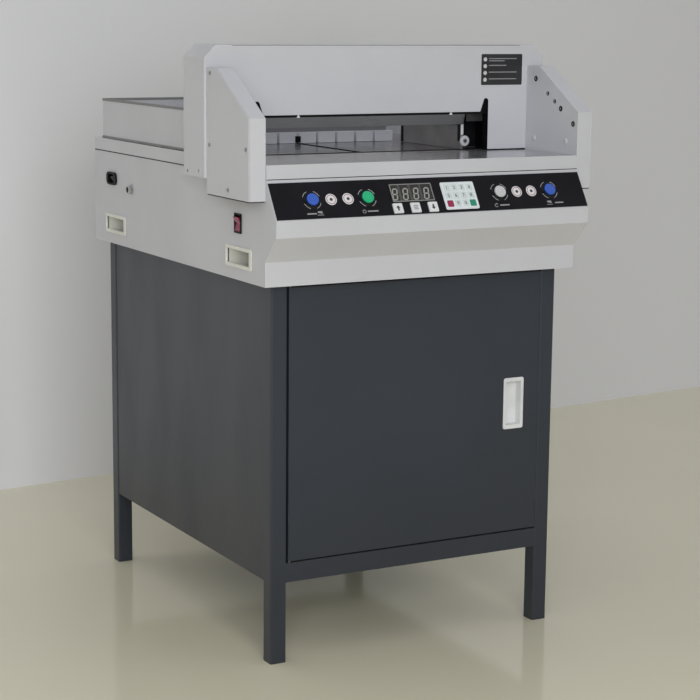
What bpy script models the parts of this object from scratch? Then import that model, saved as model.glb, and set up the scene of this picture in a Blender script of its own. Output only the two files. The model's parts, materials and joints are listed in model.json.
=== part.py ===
"""Floor-standing electric guillotine paper cutter on a steel cabinet.

Metres, +Z up, front towards -Y. The origin is on the floor, under the middle of the whole machine.
All sizes are given from the middle of the cabinet, which stands a little behind that origin: every
piece is a child of the empty "machine_origin", which carries the step between the two.
Each sub-part is one object; a moving piece has its origin on its joint.
"""

import math

import bmesh
import bpy
from mathutils import Matrix, Vector

# How far the cabinet's middle stands behind the middle of the whole machine.
CABINET_BEHIND = 0.0251
# Clearance between pieces that rest on or face each other.
GAP = 0.0003
# Thickness of the folded sheet metal, and of the thinner panels.
SHEET = 0.002
THIN_SHEET = 0.0015
# How far a cutter runs past the wall that it cuts.
PAST = 0.010

# Cabinet.
STAND_X = 0.304
STAND_Y = 0.388
LEG = 0.032
TUBE_WALL = 0.002
STAND_TOP = 0.730
LEG_CORNER = 0.003
LOW_RAIL = (0.1525, 0.1885)
TOP_RAIL_Z = 0.700
# How far the rails stay behind the legs' outer faces: front, rear and sides.
RAIL_BEHIND = {"front": 0.0004, "rear": 0.0040, "side": 0.0035}
PANEL_INSET = 0.0015
DOOR_X = (-0.268, 0.2715)
DOOR_Z = (0.192, 0.6975)
DOOR_Y = (-0.3875, -0.3655)
DOOR_PIVOT = (-0.2645, -0.3835)
PIVOT_PIN_R = 0.002
PIVOT_PIN_REACH = 0.010
PULL_CENTRE = (0.2145, 0.4445)
PULL_SIZE = (0.045, 0.100)

# Casing: the shell between the cabinet and the table, with its sloping control panel.
CASING_X = 0.328
CASING_BACK = 0.407
CASING_LOW = 0.704
SEAM_Z = 0.893
FASCIA = (-0.412, 0.748)
NOSE_LOW = (-0.456, 0.795)
NOSE_HIGH = (-0.456, 0.825)
SLOPE_TOP = (-0.417, 0.888)

# Fittings on the casing's sides, placed as (y, z).
HANDLE_SIZE = (0.108, 0.039)
HANDLE_Z = 0.7455
HANDLE_Y = {"front": -0.305, "rear": 0.289}
HANDLE_DEPTH = 0.022
HANDLE_FLANGE = 0.0022
# The handle's finger hollow: its ends from the handle's front and rear, and its depth at each end.
HOLLOW_ENDS = (0.009, 0.003)
HOLLOW_DEEP = 0.0195
HOLLOW_SHALLOW = 0.0035
HOLLOW_LEVEL = 0.030
INLET_CENTRE = (0.307, 0.839)
INLET_SIZE = (0.050, 0.026)
INLET_CORNER = 0.010
INLET_SOCKET = (0.031, 0.0185)
INLET_SOCKET_CORNER = 0.0055
LOCK_CENTRE = (0.206, 0.824)
LOCK_R = 0.0090
LOCK_PROUD = 0.008
LOCK_NUT_R = 0.0118
LOCK_NUT = 0.0025
LOCK_BORE_R = 0.0062
LOCK_DEPTH = 0.022
KEYHOLE = (0.0014, 0.0074)
ROCKER_CENTRE = (-0.303, 0.807)
ROCKER_BEZEL = (0.028, 0.036)
ROCKER_OPENING = (0.0225, 0.030)
ROCKER_TILT = 9.0

# Table and the line where the knife meets it.
TABLE_TOP = 0.919
TABLE_PLATE = 0.014
FLANGE = 0.0025
CUT_Y = -0.200
# Middle of the throat, between the two side lays, and half its width.
THROAT_X = -0.022
THROAT_HALF = 0.225
THROAT_HEIGHT = 0.049
STICK = 0.010
STICK_HALF = 0.2617
GAUGE_SLOT_HALF = 0.0065
GAUGE_SLOT_END = 0.345

# Inner side frames, the plates that carry the knife and the clamp.
FRAME_X = (0.289, 0.301)
FRAME_Y = (-0.234, -0.150)
FRAME_TOP = 1.086
TIE_Y = (-0.226, -0.156)
TIE_HEIGHT = 0.020
BASE_PLATE = 0.012
BASE_HALF = (0.300, 0.380)
BASE_EAR_Y = (-0.240, 0.225)

# Hood over the knife.
HOOD_X = 0.365
HOOD_Y = (-0.238, -0.145)
HOOD_LOW = 0.884
HOOD_SIDE_TOP = 1.100
HOOD_TOP = 1.1225
HOOD_CHAMFER = 0.0225
COVER_LOW = 0.994
NOTCH_TOP = 1.0145
NOTCH_R = 0.0055
NOTCH_SPREAD = 0.007
PILLAR_LOW = 0.921
COVER_LEFT_PILLAR = -0.265
COVER_RIGHT_PILLAR = 0.240
COVER_SHEET = 0.0014
# Half the width of the opening in the hood's rear wall, about the middle of the throat.
REAR_OPENING_HALF = 0.252

# Countersunk seats for flat-headed screws, and their places: (y, z) on the hood's sides, (x, z) on the back.
SEAT_DEPTH = 0.0016
SEAT_R = (0.0022, 0.0038)
HOOD_SEATS = ((-0.161, 0.892), (-0.211, 0.895))
BACK_SEATS = ((-0.290, 0.734), (0.0, 0.734), (0.290, 0.734))

# Side guards in front of the hood.
WING_X = (0.3283, 0.361)
WING_FRONT = -0.414
WING_LOW = 0.856
WING_FRONT_TOP = 1.000
WING_TOP = 1.082
WING_TOP_FRONT = -0.282
# Holes for the light barrier in each guard's inner face, as (y, z).
SENSOR_HOLES = ((-0.270, 1.058), (-0.312, 1.031), (-0.336, 1.017), (-0.357, 1.004), (-0.399, 0.977))
SENSOR_HOLE_R = 0.003

# Knife at rest, with its yoke and crank.
KNIFE_TRAVEL = 0.0486
KNIFE_HEIGHT = 0.070
KNIFE_THICK = 0.010
KNIFE_BEVEL = 0.026
KNIFE_HALF = 0.229
BEAM_Z = (0.989, 1.072)
BEAM_THICK = 0.016
YOKE_X = 0.272
YOKE_BAR = 0.014
YOKE_Y = (-0.2235, -0.2125)
YOKE_CROSS_Z = (0.836, 0.880)
YOKE_SLOT_HEIGHT = 0.0224
CRANK_THROW = KNIFE_TRAVEL / 2
CRANK_AXIS_Z = 0.8336
CRANK_R = 0.036
CRANK_Y = (-0.2085, -0.197)
CRANK_PIN_R = 0.005
CRANK_SHAFT_R = 0.010
GEARBOX_WIDTH = 0.084
GEARBOX_Y = (-0.1945, -0.110)
GEARBOX_TOP = 0.869
MOTOR_R = 0.0355
MOTOR_BACK = 0.040
MOTOR_FOOT = 0.060

# Clamp at rest.
CLAMP_Y = (-0.1975, -0.1600)
CLAMP_MIDDLE_Y = sum(CLAMP_Y) / 2
CLAMP_LOW = 0.970
CLAMP_STEP = 1.022
CLAMP_HIGH = 1.062
SPINDLE_R = 0.0085
SPINDLE_PLAY = 0.0007
COLLAR_R = 0.0145

# Backgauge at rest, and the side lays.
GAUGE_FRONT = 0.064
GAUGE_HALF = 0.221
COMB_TEETH = 10
COMB_DEPTH = 0.016
COMB_REACH = 0.0277
COMB_TOP = 0.9405
COMB_HALF_GAP = 0.0028
CARRIAGE_THICK = 0.024
CARRIAGE_TOP = 0.962
SCREW_Z = 0.887
SCREW_R = 0.006
SCREW_END = 0.352
PULLEY_R = 0.0125
GAUGE_MOTOR_Y = (0.361, 0.400)
GAUGE_MOTOR_Z = (0.8665, 0.9040)
GAUGE_MOTOR_HALF = 0.021
NECK_HALF = 0.0058
NUT_HALF = 0.018
LAY_THICK = 0.006
LAY_Y = (-0.1965, 0.036)
LAY_FOOT_Y = (-0.170, 0.010)
LAY_FOOT_HEIGHT = 0.004

# Fence round the back of the table.
GUARD_X = 0.320
GUARD_BACK = 0.377
GUARD_TOP = 1.000

# Controls, placed on the slope as (across, up the slope) from its middle.
BUTTON_R = 0.0115
BUTTON_PROUD = 0.0055
BARREL_R = 0.0133
BEZEL_R = 0.0165
CUT_BUTTON_U = 0.250
INNER_BUTTON_U = 0.1395
DISPLAY_CENTRE = (-0.0465, 0.0055)
DISPLAY_SIZE = (0.088, 0.036)
KEY_V = -0.0236
KEY_PITCH = 0.0365
KEY_SIDE = 0.0195
KEYPAD_CENTRE = (0.052, -0.0035)
KEYPAD_SIZE = (0.071, 0.055)
PANEL_SHEET = 0.0015
# The bezels' flanges and barrels, measured from the panel's outer face.
BEZEL_FLANGE = 0.0025
BEZEL_TAPER = 0.0015
BARREL_DEPTH = 0.016
# How far the window overlaps its opening, and the module behind it stays inside that.
WINDOW_LIP = 0.003
MODULE_PLAY = 0.001

for leftover in list(bpy.data.objects):
    bpy.data.objects.remove(leftover, do_unlink=True)

parts = bpy.data.collections.new("guillotine_paper_cutter")
cutters = bpy.data.collections.new("cutters")
cutters.hide_render = True
for collection in (parts, cutters):
    bpy.context.scene.collection.children.link(collection)

machine_origin = bpy.data.objects.new("machine_origin", None)
machine_origin.location = (0.0, CABINET_BEHIND, 0.0)
parts.objects.link(machine_origin)


def material(name, colour, roughness, metallic=0.0):
    made = bpy.data.materials.new(name)
    made.use_nodes = True
    shader = made.node_tree.nodes["Principled BSDF"]
    shader.inputs["Base Color"].default_value = (*colour, 1.0)
    shader.inputs["Roughness"].default_value = roughness
    shader.inputs["Metallic"].default_value = metallic
    return made


SLATE = material("slate_paint", (0.047, 0.054, 0.066), 0.5)
GREY = material("light_grey_paint", (0.50, 0.50, 0.52), 0.45)
TABLE_STEEL = material("polished_table", (0.45, 0.45, 0.46), 0.12, 0.8)
STEEL = material("ground_steel", (0.35, 0.35, 0.36), 0.3, 1.0)
BLACKED = material("blackened_steel", (0.02, 0.02, 0.022), 0.5, 0.4)
CAST = material("cast_iron", (0.10, 0.10, 0.105), 0.6, 0.6)
BLACK = material("black_plastic", (0.014, 0.014, 0.017), 0.4)
IVORY = material("ivory_plastic", (0.56, 0.56, 0.50), 0.5)
WHITE = material("white_plastic", (0.62, 0.62, 0.60), 0.45)
PALE = material("pale_gauge", (0.55, 0.56, 0.60), 0.4)
BLUE = material("blue_button", (0.03, 0.10, 0.50), 0.35)
GREEN = material("green_button", (0.01, 0.47, 0.18), 0.35)
RED = material("red_rocker", (0.35, 0.02, 0.04), 0.3)
CHROME = material("chrome_ring", (0.55, 0.55, 0.56), 0.15, 1.0)
WINDOW = material("dark_window", (0.02, 0.02, 0.02), 0.1)
STICK_RED = material("cutting_stick", (0.20, 0.02, 0.02), 0.5)


def add(name, mesh, paint, origin=(0.0, 0.0, 0.0), parent=None):
    """An object that holds the mesh, whose points are given from the parent, with its origin at origin."""
    mesh.transform(Matrix.Translation(-Vector(origin)))
    mesh.name = name
    made = bpy.data.objects.new(name, mesh)
    made.location = origin
    made.parent = parent or machine_origin
    if paint is None:
        made.display_type = "WIRE"
        made.hide_render = True
        cutters.objects.link(made)
    else:
        mesh.materials.append(paint)
        parts.objects.link(made)
    return made


def mesh_from(bm):
    bmesh.ops.recalc_face_normals(bm, faces=bm.faces)
    mesh = bpy.data.meshes.new("shape")
    bm.to_mesh(mesh)
    bm.free()
    return mesh


def box(name, x, y, z, paint=None, origin=None, parent=None):
    """A box between two values on each axis. Without a paint it is a cutter."""
    low = Vector((min(x), min(y), min(z)))
    high = Vector((max(x), max(y), max(z)))
    bm = bmesh.new()
    bmesh.ops.create_cube(bm, size=1.0)
    bmesh.ops.scale(bm, vec=high - low, verts=bm.verts)
    bmesh.ops.translate(bm, vec=(low + high) / 2, verts=bm.verts)
    return add(name, mesh_from(bm), paint, origin or (low + high) / 2, parent)


TURNS = {
    "X": Matrix.Rotation(math.pi / 2, 4, "Y"),
    "Y": Matrix.Rotation(-math.pi / 2, 4, "X"),
    "Z": Matrix.Identity(4),
}


def rod(name, centre, axis, span, radius, paint=None, origin=None, parent=None, sides=32, far_radius=None):
    """A cylinder or cone along an axis: centre gives its place across the axis, span its two ends."""
    spot = list(centre)
    spot.insert("XYZ".index(axis), (span[0] + span[1]) / 2)
    bm = bmesh.new()
    bmesh.ops.create_cone(
        bm,
        cap_ends=True,
        segments=sides,
        radius1=radius,
        radius2=radius if far_radius is None else far_radius,
        depth=abs(span[1] - span[0]),
        matrix=Matrix.Translation(spot) @ TURNS[axis],
    )
    mesh = mesh_from(bm)
    mesh.shade_smooth()
    mesh.set_sharp_from_angle(angle=math.radians(40))
    return add(name, mesh, paint, origin or spot, parent)


# How a flat outline stands: across and up on the page become these axes, and the plate's thickness the third.
PAGES = {
    "X": Matrix(((0, 0, 1, 0), (1, 0, 0, 0), (0, 1, 0, 0), (0, 0, 0, 1))),
    "Y": Matrix(((1, 0, 0, 0), (0, 0, -1, 0), (0, 1, 0, 0), (0, 0, 0, 1))),
    "Z": Matrix.Identity(4),
}


def plate(name, outline, axis, span, paint=None, holes=(), origin=None, parent=None):
    """A flat outline, with any holes, extruded along an axis between the two ends of span."""
    page = bpy.data.curves.new(name, "CURVE")
    page.dimensions = "2D"
    page.fill_mode = "BOTH"
    page.extrude = abs(span[1] - span[0]) / 2
    for loop in (outline, *holes):
        spline = page.splines.new("POLY")
        spline.points.add(len(loop) - 1)
        for point, (across, up) in zip(spline.points, loop):
            point.co = (across, up, 0.0, 1.0)
        spline.use_cyclic_u = True
    guide = bpy.data.objects.new(name, page)
    parts.objects.link(guide)
    evaluated = guide.evaluated_get(bpy.context.evaluated_depsgraph_get())
    mesh = bpy.data.meshes.new_from_object(evaluated)
    bpy.data.objects.remove(guide)
    bpy.data.curves.remove(page)
    mesh.materials.clear()
    mesh.transform(PAGES[axis])
    middle = [0.0, 0.0, 0.0]
    middle["XYZ".index(axis)] = (span[0] + span[1]) / 2
    mesh.transform(Matrix.Translation(middle))
    bm = bmesh.new()
    bm.from_mesh(mesh)
    bmesh.ops.remove_doubles(bm, verts=bm.verts, dist=0.00002)
    # The fill comes as triangles, some of them thin: each flat side becomes one face again.
    bmesh.ops.dissolve_limit(bm, angle_limit=math.radians(0.5), verts=bm.verts, edges=bm.edges)
    return add(name, mesh_from(bm), paint, origin or middle, parent)


def arc(centre, radius, start, end, steps=6):
    """Points along an arc, with angles in degrees."""
    points = []
    for step in range(steps + 1):
        angle = math.radians(start + (end - start) * step / steps)
        points.append((centre[0] + radius * math.cos(angle), centre[1] + radius * math.sin(angle)))
    return points


def rounded(x, y, radius, steps=4):
    """A rectangle with rounded corners."""
    outline = []
    corners = ((x[1], y[1], 0), (x[0], y[1], 90), (x[0], y[0], 180), (x[1], y[0], 270))
    for across, up, start in corners:
        inward = (
            across - radius if across == x[1] else across + radius,
            up - radius if up == y[1] else up + radius,
        )
        outline += arc(inward, radius, start, start + 90, steps)
    return outline


def cut(target, *tools):
    for tool in tools:
        step = target.modifiers.new("cut_" + tool.name, "BOOLEAN")
        step.operation = "DIFFERENCE"
        step.solver = "EXACT"
        step.object = tool
    return target


def join(target, *pieces):
    for piece in pieces:
        step = target.modifiers.new("join_" + piece.name, "BOOLEAN")
        step.operation = "UNION"
        step.solver = "EXACT"
        step.object = piece
    return target


def soften(target, width, segments=2):
    step = target.modifiers.new("rounded_edges", "BEVEL")
    step.width = width
    step.segments = segments
    step.limit_method = "ANGLE"
    step.angle_limit = math.radians(40)
    step.harden_normals = False
    return target


def widen(span, by):
    return (span[0] - by, span[1] + by)


def centred(middle, size):
    return (middle - size / 2, middle + size / 2)


def screw_seat(name, centre, axis, face, side):
    """A cone that opens outwards through a face, on the axis's positive side (1) or negative side (-1)."""
    growth = (SEAT_R[1] - SEAT_R[0]) / SEAT_DEPTH
    above = 0.0004
    inner = (face - side * SEAT_DEPTH, SEAT_R[0])
    outer = (face + side * above, SEAT_R[1] + above * growth)
    low, high = sorted((inner, outer))
    return rod(name, centre, axis, (low[0], high[0]), low[1], sides=24, far_radius=high[1])


def throat(half):
    """A span of this half width about the middle of the throat."""
    return (THROAT_X - half, THROAT_X + half)


# ---------------------------------------------------------------- cabinet


def leg(name, x_side, y_side, paint=None):
    """A square tube, open at the foot."""
    x = sorted((x_side * STAND_X, x_side * (STAND_X - LEG)))
    y = sorted((y_side * STAND_Y, y_side * (STAND_Y - LEG)))
    tube = plate(name, rounded(x, y, LEG_CORNER, 2), "Z", (0.0, STAND_TOP), paint)
    hollow = box(
        name + "_hollow",
        widen(x, -TUBE_WALL),
        widen(y, -TUBE_WALL),
        (-PAST, LOW_RAIL[0] - 0.01),
    )
    return tube, hollow


def build_cabinet_frame():
    inner_x = STAND_X - LEG / 2
    inner_y = STAND_Y - LEG / 2
    frame, first_hollow = leg("cabinet_frame", -1, -1, SLATE)
    hollows = [first_hollow]
    pieces = []
    for tag, x_side, y_side in (("front_right", 1, -1), ("rear_left", -1, 1), ("rear_right", 1, 1)):
        tube, hollow = leg("leg_" + tag, x_side, y_side)
        pieces.append(tube)
        hollows.append(hollow)
    # The rails are a little narrower than the legs, and the side rails sink below the cabinet's floor.
    rail_width = LEG - 0.002
    floor_step = 0.004
    top_rail = (TOP_RAIL_Z, STAND_TOP - RAIL_BEHIND["front"])
    for tag, side in (("front", -1), ("rear", 1)):
        y = (side * (STAND_Y - RAIL_BEHIND[tag]), side * (STAND_Y - rail_width))
        pieces.append(box("rail_low_" + tag, (-inner_x, inner_x), y, LOW_RAIL))
        pieces.append(box("rail_top_" + tag, (-inner_x, inner_x), y, top_rail))
    for tag, side in (("left", -1), ("right", 1)):
        x = (side * (STAND_X - RAIL_BEHIND["side"]), side * (STAND_X - rail_width))
        pieces.append(box("rail_low_" + tag, x, (-inner_y, inner_y), (LOW_RAIL[0], LOW_RAIL[1] - floor_step)))
        pieces.append(box("rail_top_" + tag, x, (-inner_y, inner_y), top_rail))
    join(frame, *pieces)
    cut(frame, *hollows)
    pin_depth = PIVOT_PIN_REACH - 0.0017
    spans = {
        "upper": (TOP_RAIL_Z - 0.001, TOP_RAIL_Z + pin_depth),
        "lower": (LOW_RAIL[1] - pin_depth, LOW_RAIL[1] + 0.001),
    }
    for tag, span in spans.items():
        cut(frame, rod("pivot_hole_" + tag, DOOR_PIVOT, "Z", span, PIVOT_PIN_R + GAP, sides=16))


def build_cabinet_panels():
    between_legs_y = (-STAND_Y + LEG + GAP, STAND_Y - LEG - GAP)
    between_legs_x = (-STAND_X + LEG + GAP, STAND_X - LEG - GAP)
    height = (LOW_RAIL[0], STAND_TOP - 0.001)
    for tag, side in (("left", -1), ("right", 1)):
        x = (side * (STAND_X - PANEL_INSET), side * (STAND_X - PANEL_INSET - THIN_SHEET))
        box("side_panel_" + tag, x, between_legs_y, height, SLATE)
    back_y = (STAND_Y - PANEL_INSET - THIN_SHEET, STAND_Y - PANEL_INSET)
    box("back_panel", between_legs_x, back_y, height, SLATE)
    edge = STAND_X - RAIL_BEHIND["side"]
    notch = LEG + GAP
    inner = STAND_X - notch
    front = -STAND_Y + notch
    back = STAND_Y - notch
    outline = [
        (-inner, front),
        (inner, front),
        (edge, front),
        (edge, back),
        (inner, back),
        (inner, back + 0.001),
        (-inner, back + 0.001),
        (-inner, back),
        (-edge, back),
        (-edge, front),
    ]
    floor_z = LOW_RAIL[1] + GAP
    plate("cabinet_floor", outline, "Z", (floor_z, floor_z + SHEET), SLATE)


def build_door():
    pivot = (*DOOR_PIVOT, sum(DOOR_Z) / 2)
    door = box("cabinet_door", DOOR_X, DOOR_Y, DOOR_Z, SLATE, origin=pivot)
    inside = box(
        "door_inside",
        widen(DOOR_X, -THIN_SHEET),
        (DOOR_Y[0] + THIN_SHEET, DOOR_Y[1] + PAST),
        widen(DOOR_Z, -THIN_SHEET),
    )
    opening = box(
        "pull_opening",
        centred(PULL_CENTRE[0], PULL_SIZE[0] - 0.006),
        (DOOR_Y[0] - PAST, DOOR_Y[1]),
        centred(PULL_CENTRE[1], PULL_SIZE[1] - 0.006),
    )
    cut(door, inside, opening)
    in_rail = PIVOT_PIN_REACH - 0.002
    upper = DOOR_Z[1] - PIVOT_PIN_REACH
    lower = DOOR_Z[0] + PIVOT_PIN_REACH
    pins = (
        ("upper", (upper, TOP_RAIL_Z + in_rail), (upper - 0.001, DOOR_Z[1] + PAST)),
        ("lower", (LOW_RAIL[1] - in_rail, lower), (DOOR_Z[0] - PAST, lower + 0.001)),
    )
    for tag, span, hole in pins:
        rod("door_hinge_pin_" + tag, DOOR_PIVOT, "Z", span, PIVOT_PIN_R, STEEL, sides=16)
        cut(door, rod("door_bore_" + tag, DOOR_PIVOT, "Z", hole, PIVOT_PIN_R + GAP, sides=16))


def build_door_pull():
    """A flush pull: a flange on the door's face and a cup behind it, deeper towards the opening side."""
    x = centred(PULL_CENTRE[0], PULL_SIZE[0])
    z = centred(PULL_CENTRE[1], PULL_SIZE[1])
    face = DOOR_Y[0] - GAP
    cup_back = DOOR_Y[1] - 0.004
    pull = plate(
        "door_pull",
        rounded(x, z, 0.004),
        "Y",
        (face - 0.002, face),
        WHITE,
        origin=(*DOOR_PIVOT, PULL_CENTRE[1]),
    )
    cup = box("pull_cup", widen(x, -0.0035), (face - 0.001, cup_back), widen(z, -0.0035))
    pocket = box("pull_pocket", widen(x, -0.0065), (face - PAST, cup_back - 0.0025), widen(z, -0.0075))
    join(pull, cup)
    cut(pull, pocket)


# ---------------------------------------------------------------- casing


def casing_outline(inset, top, bottom):
    """The casing's side view. The inset moves every wall inwards."""
    slope = Vector(SLOPE_TOP) - Vector(NOSE_HIGH)
    slope_shift = inset / (slope.y / slope.length)
    undercut = Vector(NOSE_LOW) - Vector(FASCIA)
    undercut_shift = inset * (undercut.length - undercut.y) / abs(undercut.x)
    nose_shift = inset * (slope.length - slope.y) / slope.x
    return [
        (FASCIA[0] + inset, bottom),
        (FASCIA[0] + inset, FASCIA[1] + undercut_shift),
        (NOSE_LOW[0] + inset, NOSE_LOW[1] + undercut_shift),
        (NOSE_HIGH[0] + inset, NOSE_HIGH[1] - nose_shift),
        (SLOPE_TOP[0] + slope_shift, SLOPE_TOP[1]),
        (SLOPE_TOP[0] + slope_shift, top),
        (CASING_BACK - inset, top),
        (CASING_BACK - inset, bottom),
    ]


def slope_frame():
    """An empty on the middle of the slope: X across, Y up the slope, Z out of it."""
    rise = Vector(SLOPE_TOP) - Vector(NOSE_HIGH)
    frame = bpy.data.objects.new("control_slope", None)
    frame.parent = machine_origin
    frame.location = (0.0, (SLOPE_TOP[0] + NOSE_HIGH[0]) / 2, (SLOPE_TOP[1] + NOSE_HIGH[1]) / 2)
    frame.rotation_euler = (math.atan2(rise.y, rise.x), 0.0, 0.0)
    parts.objects.link(frame)
    return frame, rise.length


def build_casing(controls):
    casing = plate(
        "base_casing",
        casing_outline(0.0, SEAM_Z, CASING_LOW),
        "X",
        (-CASING_X, CASING_X),
        GREY,
    )
    inner = plate(
        "casing_inside",
        casing_outline(SHEET, SEAM_Z + PAST, CASING_LOW - PAST),
        "X",
        (-CASING_X + SHEET, CASING_X - SHEET),
    )
    cut(casing, inner)
    for tag, place in HANDLE_Y.items():
        opening = box(
            "handle_opening_" + tag,
            widen((-CASING_X, CASING_X), PAST),
            centred(place, HANDLE_SIZE[0] - 0.006),
            centred(HANDLE_Z, HANDLE_SIZE[1] - 0.006),
        )
        cut(casing, opening)
    wall = (-CASING_X - PAST, -CASING_X + PAST)
    inlet = box(
        "inlet_opening",
        wall,
        centred(INLET_CENTRE[0], INLET_SIZE[0] - 0.012),
        centred(INLET_CENTRE[1], INLET_SIZE[1] - 0.005),
    )
    lock = rod("lock_opening", LOCK_CENTRE, "X", wall, LOCK_R + GAP)
    rocker = box(
        "rocker_hole",
        wall,
        centred(ROCKER_CENTRE[0], ROCKER_OPENING[0] + 0.0026),
        centred(ROCKER_CENTRE[1], ROCKER_OPENING[1] + 0.0026),
    )
    cut(casing, inlet, lock, rocker, *controls)
    for number, spot in enumerate(BACK_SEATS):
        cut(casing, screw_seat("back_seat_" + str(number), spot, "Y", CASING_BACK, 1))


def build_carry_handles():
    """Moulded flush handles, two on each side: a flange outside, and a cup with a hollow for the fingers."""
    for side_tag, side in (("left", -1), ("right", 1)):
        for tag, place in HANDLE_Y.items():
            face = side * (CASING_X + GAP)
            y = centred(place, HANDLE_SIZE[0])
            z = centred(HANDLE_Z, HANDLE_SIZE[1])
            name = "carry_handle_" + tag + "_" + side_tag
            rim = sorted((face, face + side * HANDLE_FLANGE))
            handle = plate(name, rounded(y, z, 0.004), "X", rim, IVORY)
            cup = box(
                name + "_cup",
                (face + side * 0.001, side * (CASING_X - HANDLE_DEPTH)),
                widen(y, -0.0034),
                widen(z, -0.0034),
            )
            # The hollow is deepest at its front end, and rises towards its rear end.
            outside = side * (CASING_X + PAST)
            deep = side * (CASING_X - HOLLOW_DEEP)
            shallow = side * (CASING_X - HOLLOW_SHALLOW)
            front = y[0] + HOLLOW_ENDS[0]
            rear = y[1] - HOLLOW_ENDS[1]
            wedge = [
                (outside, front),
                (deep, front),
                (deep, front + HOLLOW_LEVEL),
                (shallow, rear),
                (outside, rear),
            ]
            hollow = plate(name + "_hollow", wedge, "Z", widen(z, -0.0065))
            join(handle, cup)
            cut(handle, hollow)


def build_power_inlet():
    face = -CASING_X - GAP
    y = centred(INLET_CENTRE[0], INLET_SIZE[0])
    z = centred(INLET_CENTRE[1], INLET_SIZE[1])
    inlet = plate("power_inlet", rounded(y, z, INLET_CORNER), "X", (face - 0.004, face), BLACK)
    body = box(
        "inlet_body",
        (face - 0.001, face + 0.026),
        centred(INLET_CENTRE[0], INLET_SIZE[0] - 0.013),
        centred(INLET_CENTRE[1], INLET_SIZE[1] - 0.006),
    )
    socket = plate(
        "inlet_socket",
        rounded(
            centred(INLET_CENTRE[0], INLET_SOCKET[0]),
            centred(INLET_CENTRE[1], INLET_SOCKET[1]),
            INLET_SOCKET_CORNER,
        ),
        "X",
        (face - PAST, face + 0.016),
    )
    join(inlet, body)
    cut(inlet, socket)
    for number, (across, up) in enumerate(((-0.007, 0.002), (0.007, 0.002), (0.0, -0.002))):
        blade = box(
            "inlet_blade_" + str(number),
            (face - 0.001, face + 0.018),
            centred(INLET_CENTRE[0] + across, 0.002),
            centred(INLET_CENTRE[1] + up, 0.004),
        )
        join(inlet, blade)


def build_key_switch():
    face = -CASING_X - GAP
    barrel = rod("key_switch_barrel", LOCK_CENTRE, "X", (face - LOCK_NUT, face), LOCK_NUT_R, CHROME, sides=6)
    join(barrel, rod("lock_body", LOCK_CENTRE, "X", (face - LOCK_PROUD, face + LOCK_DEPTH), LOCK_R))
    bore_depth = LOCK_DEPTH - 0.006
    cut(barrel, rod("lock_bore", LOCK_CENTRE, "X", (face - PAST, face + bore_depth), LOCK_BORE_R))
    core = rod(
        "key_switch_core",
        LOCK_CENTRE,
        "X",
        (face - LOCK_PROUD + 0.0006, face + bore_depth - 0.0005),
        LOCK_BORE_R - GAP,
        BLACK,
        sides=24,
    )
    slot = box(
        "key_slot",
        (face - PAST, face + 0.002),
        centred(LOCK_CENTRE[0], KEYHOLE[0]),
        centred(LOCK_CENTRE[1], KEYHOLE[1]),
    )
    cut(core, slot)


def build_rocker():
    face = -CASING_X - GAP
    y = centred(ROCKER_CENTRE[0], ROCKER_BEZEL[0])
    z = centred(ROCKER_CENTRE[1], ROCKER_BEZEL[1])
    bezel = plate("rocker_bezel", rounded(y, z, 0.0015, 2), "X", (face - 0.0025, face), BLACK)
    opening_y = centred(ROCKER_CENTRE[0], ROCKER_OPENING[0])
    opening_z = centred(ROCKER_CENTRE[1], ROCKER_OPENING[1])
    body = box("rocker_body", (face - 0.001, face + 0.020), widen(opening_y, 0.001), widen(opening_z, 0.001))
    hollow = box("rocker_hollow", (face - PAST, face + 0.018), opening_y, opening_z)
    join(bezel, body)
    cut(bezel, hollow)
    # The cap turns on an axis along Y just inside the wall. At rest its upper end stands out.
    axis_x = face + 0.004
    crown = 0.0085
    reach = 0.0132
    dish = -0.0045
    tilt = math.radians(ROCKER_TILT)
    heel = 0.004
    heel_reach = reach - 0.003
    outline = [(-crown, reach), (dish, 0.0), (-crown, -reach), (heel, -heel_reach), (heel, heel_reach)]
    turned = []
    for across, up in outline:
        turned.append(
            (
                axis_x + across * math.cos(tilt) - up * math.sin(tilt),
                ROCKER_CENTRE[1] + across * math.sin(tilt) + up * math.cos(tilt),
            )
        )
    plate(
        "rocker",
        turned,
        "Y",
        centred(ROCKER_CENTRE[0], ROCKER_OPENING[0] - 0.0012),
        RED,
        origin=(axis_x, ROCKER_CENTRE[0], ROCKER_CENTRE[1]),
    )


# ---------------------------------------------------------------- control panel


BUTTONS = {
    "cut_button_left": (-CUT_BUTTON_U, BLUE),
    "power_button": (-INNER_BUTTON_U, GREEN),
    "reset_button": (INNER_BUTTON_U, WHITE),
    "cut_button_right": (CUT_BUTTON_U, BLUE),
}
KEYS = {"key_minus": -1, "key_select": 0, "key_plus": 1}


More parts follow.
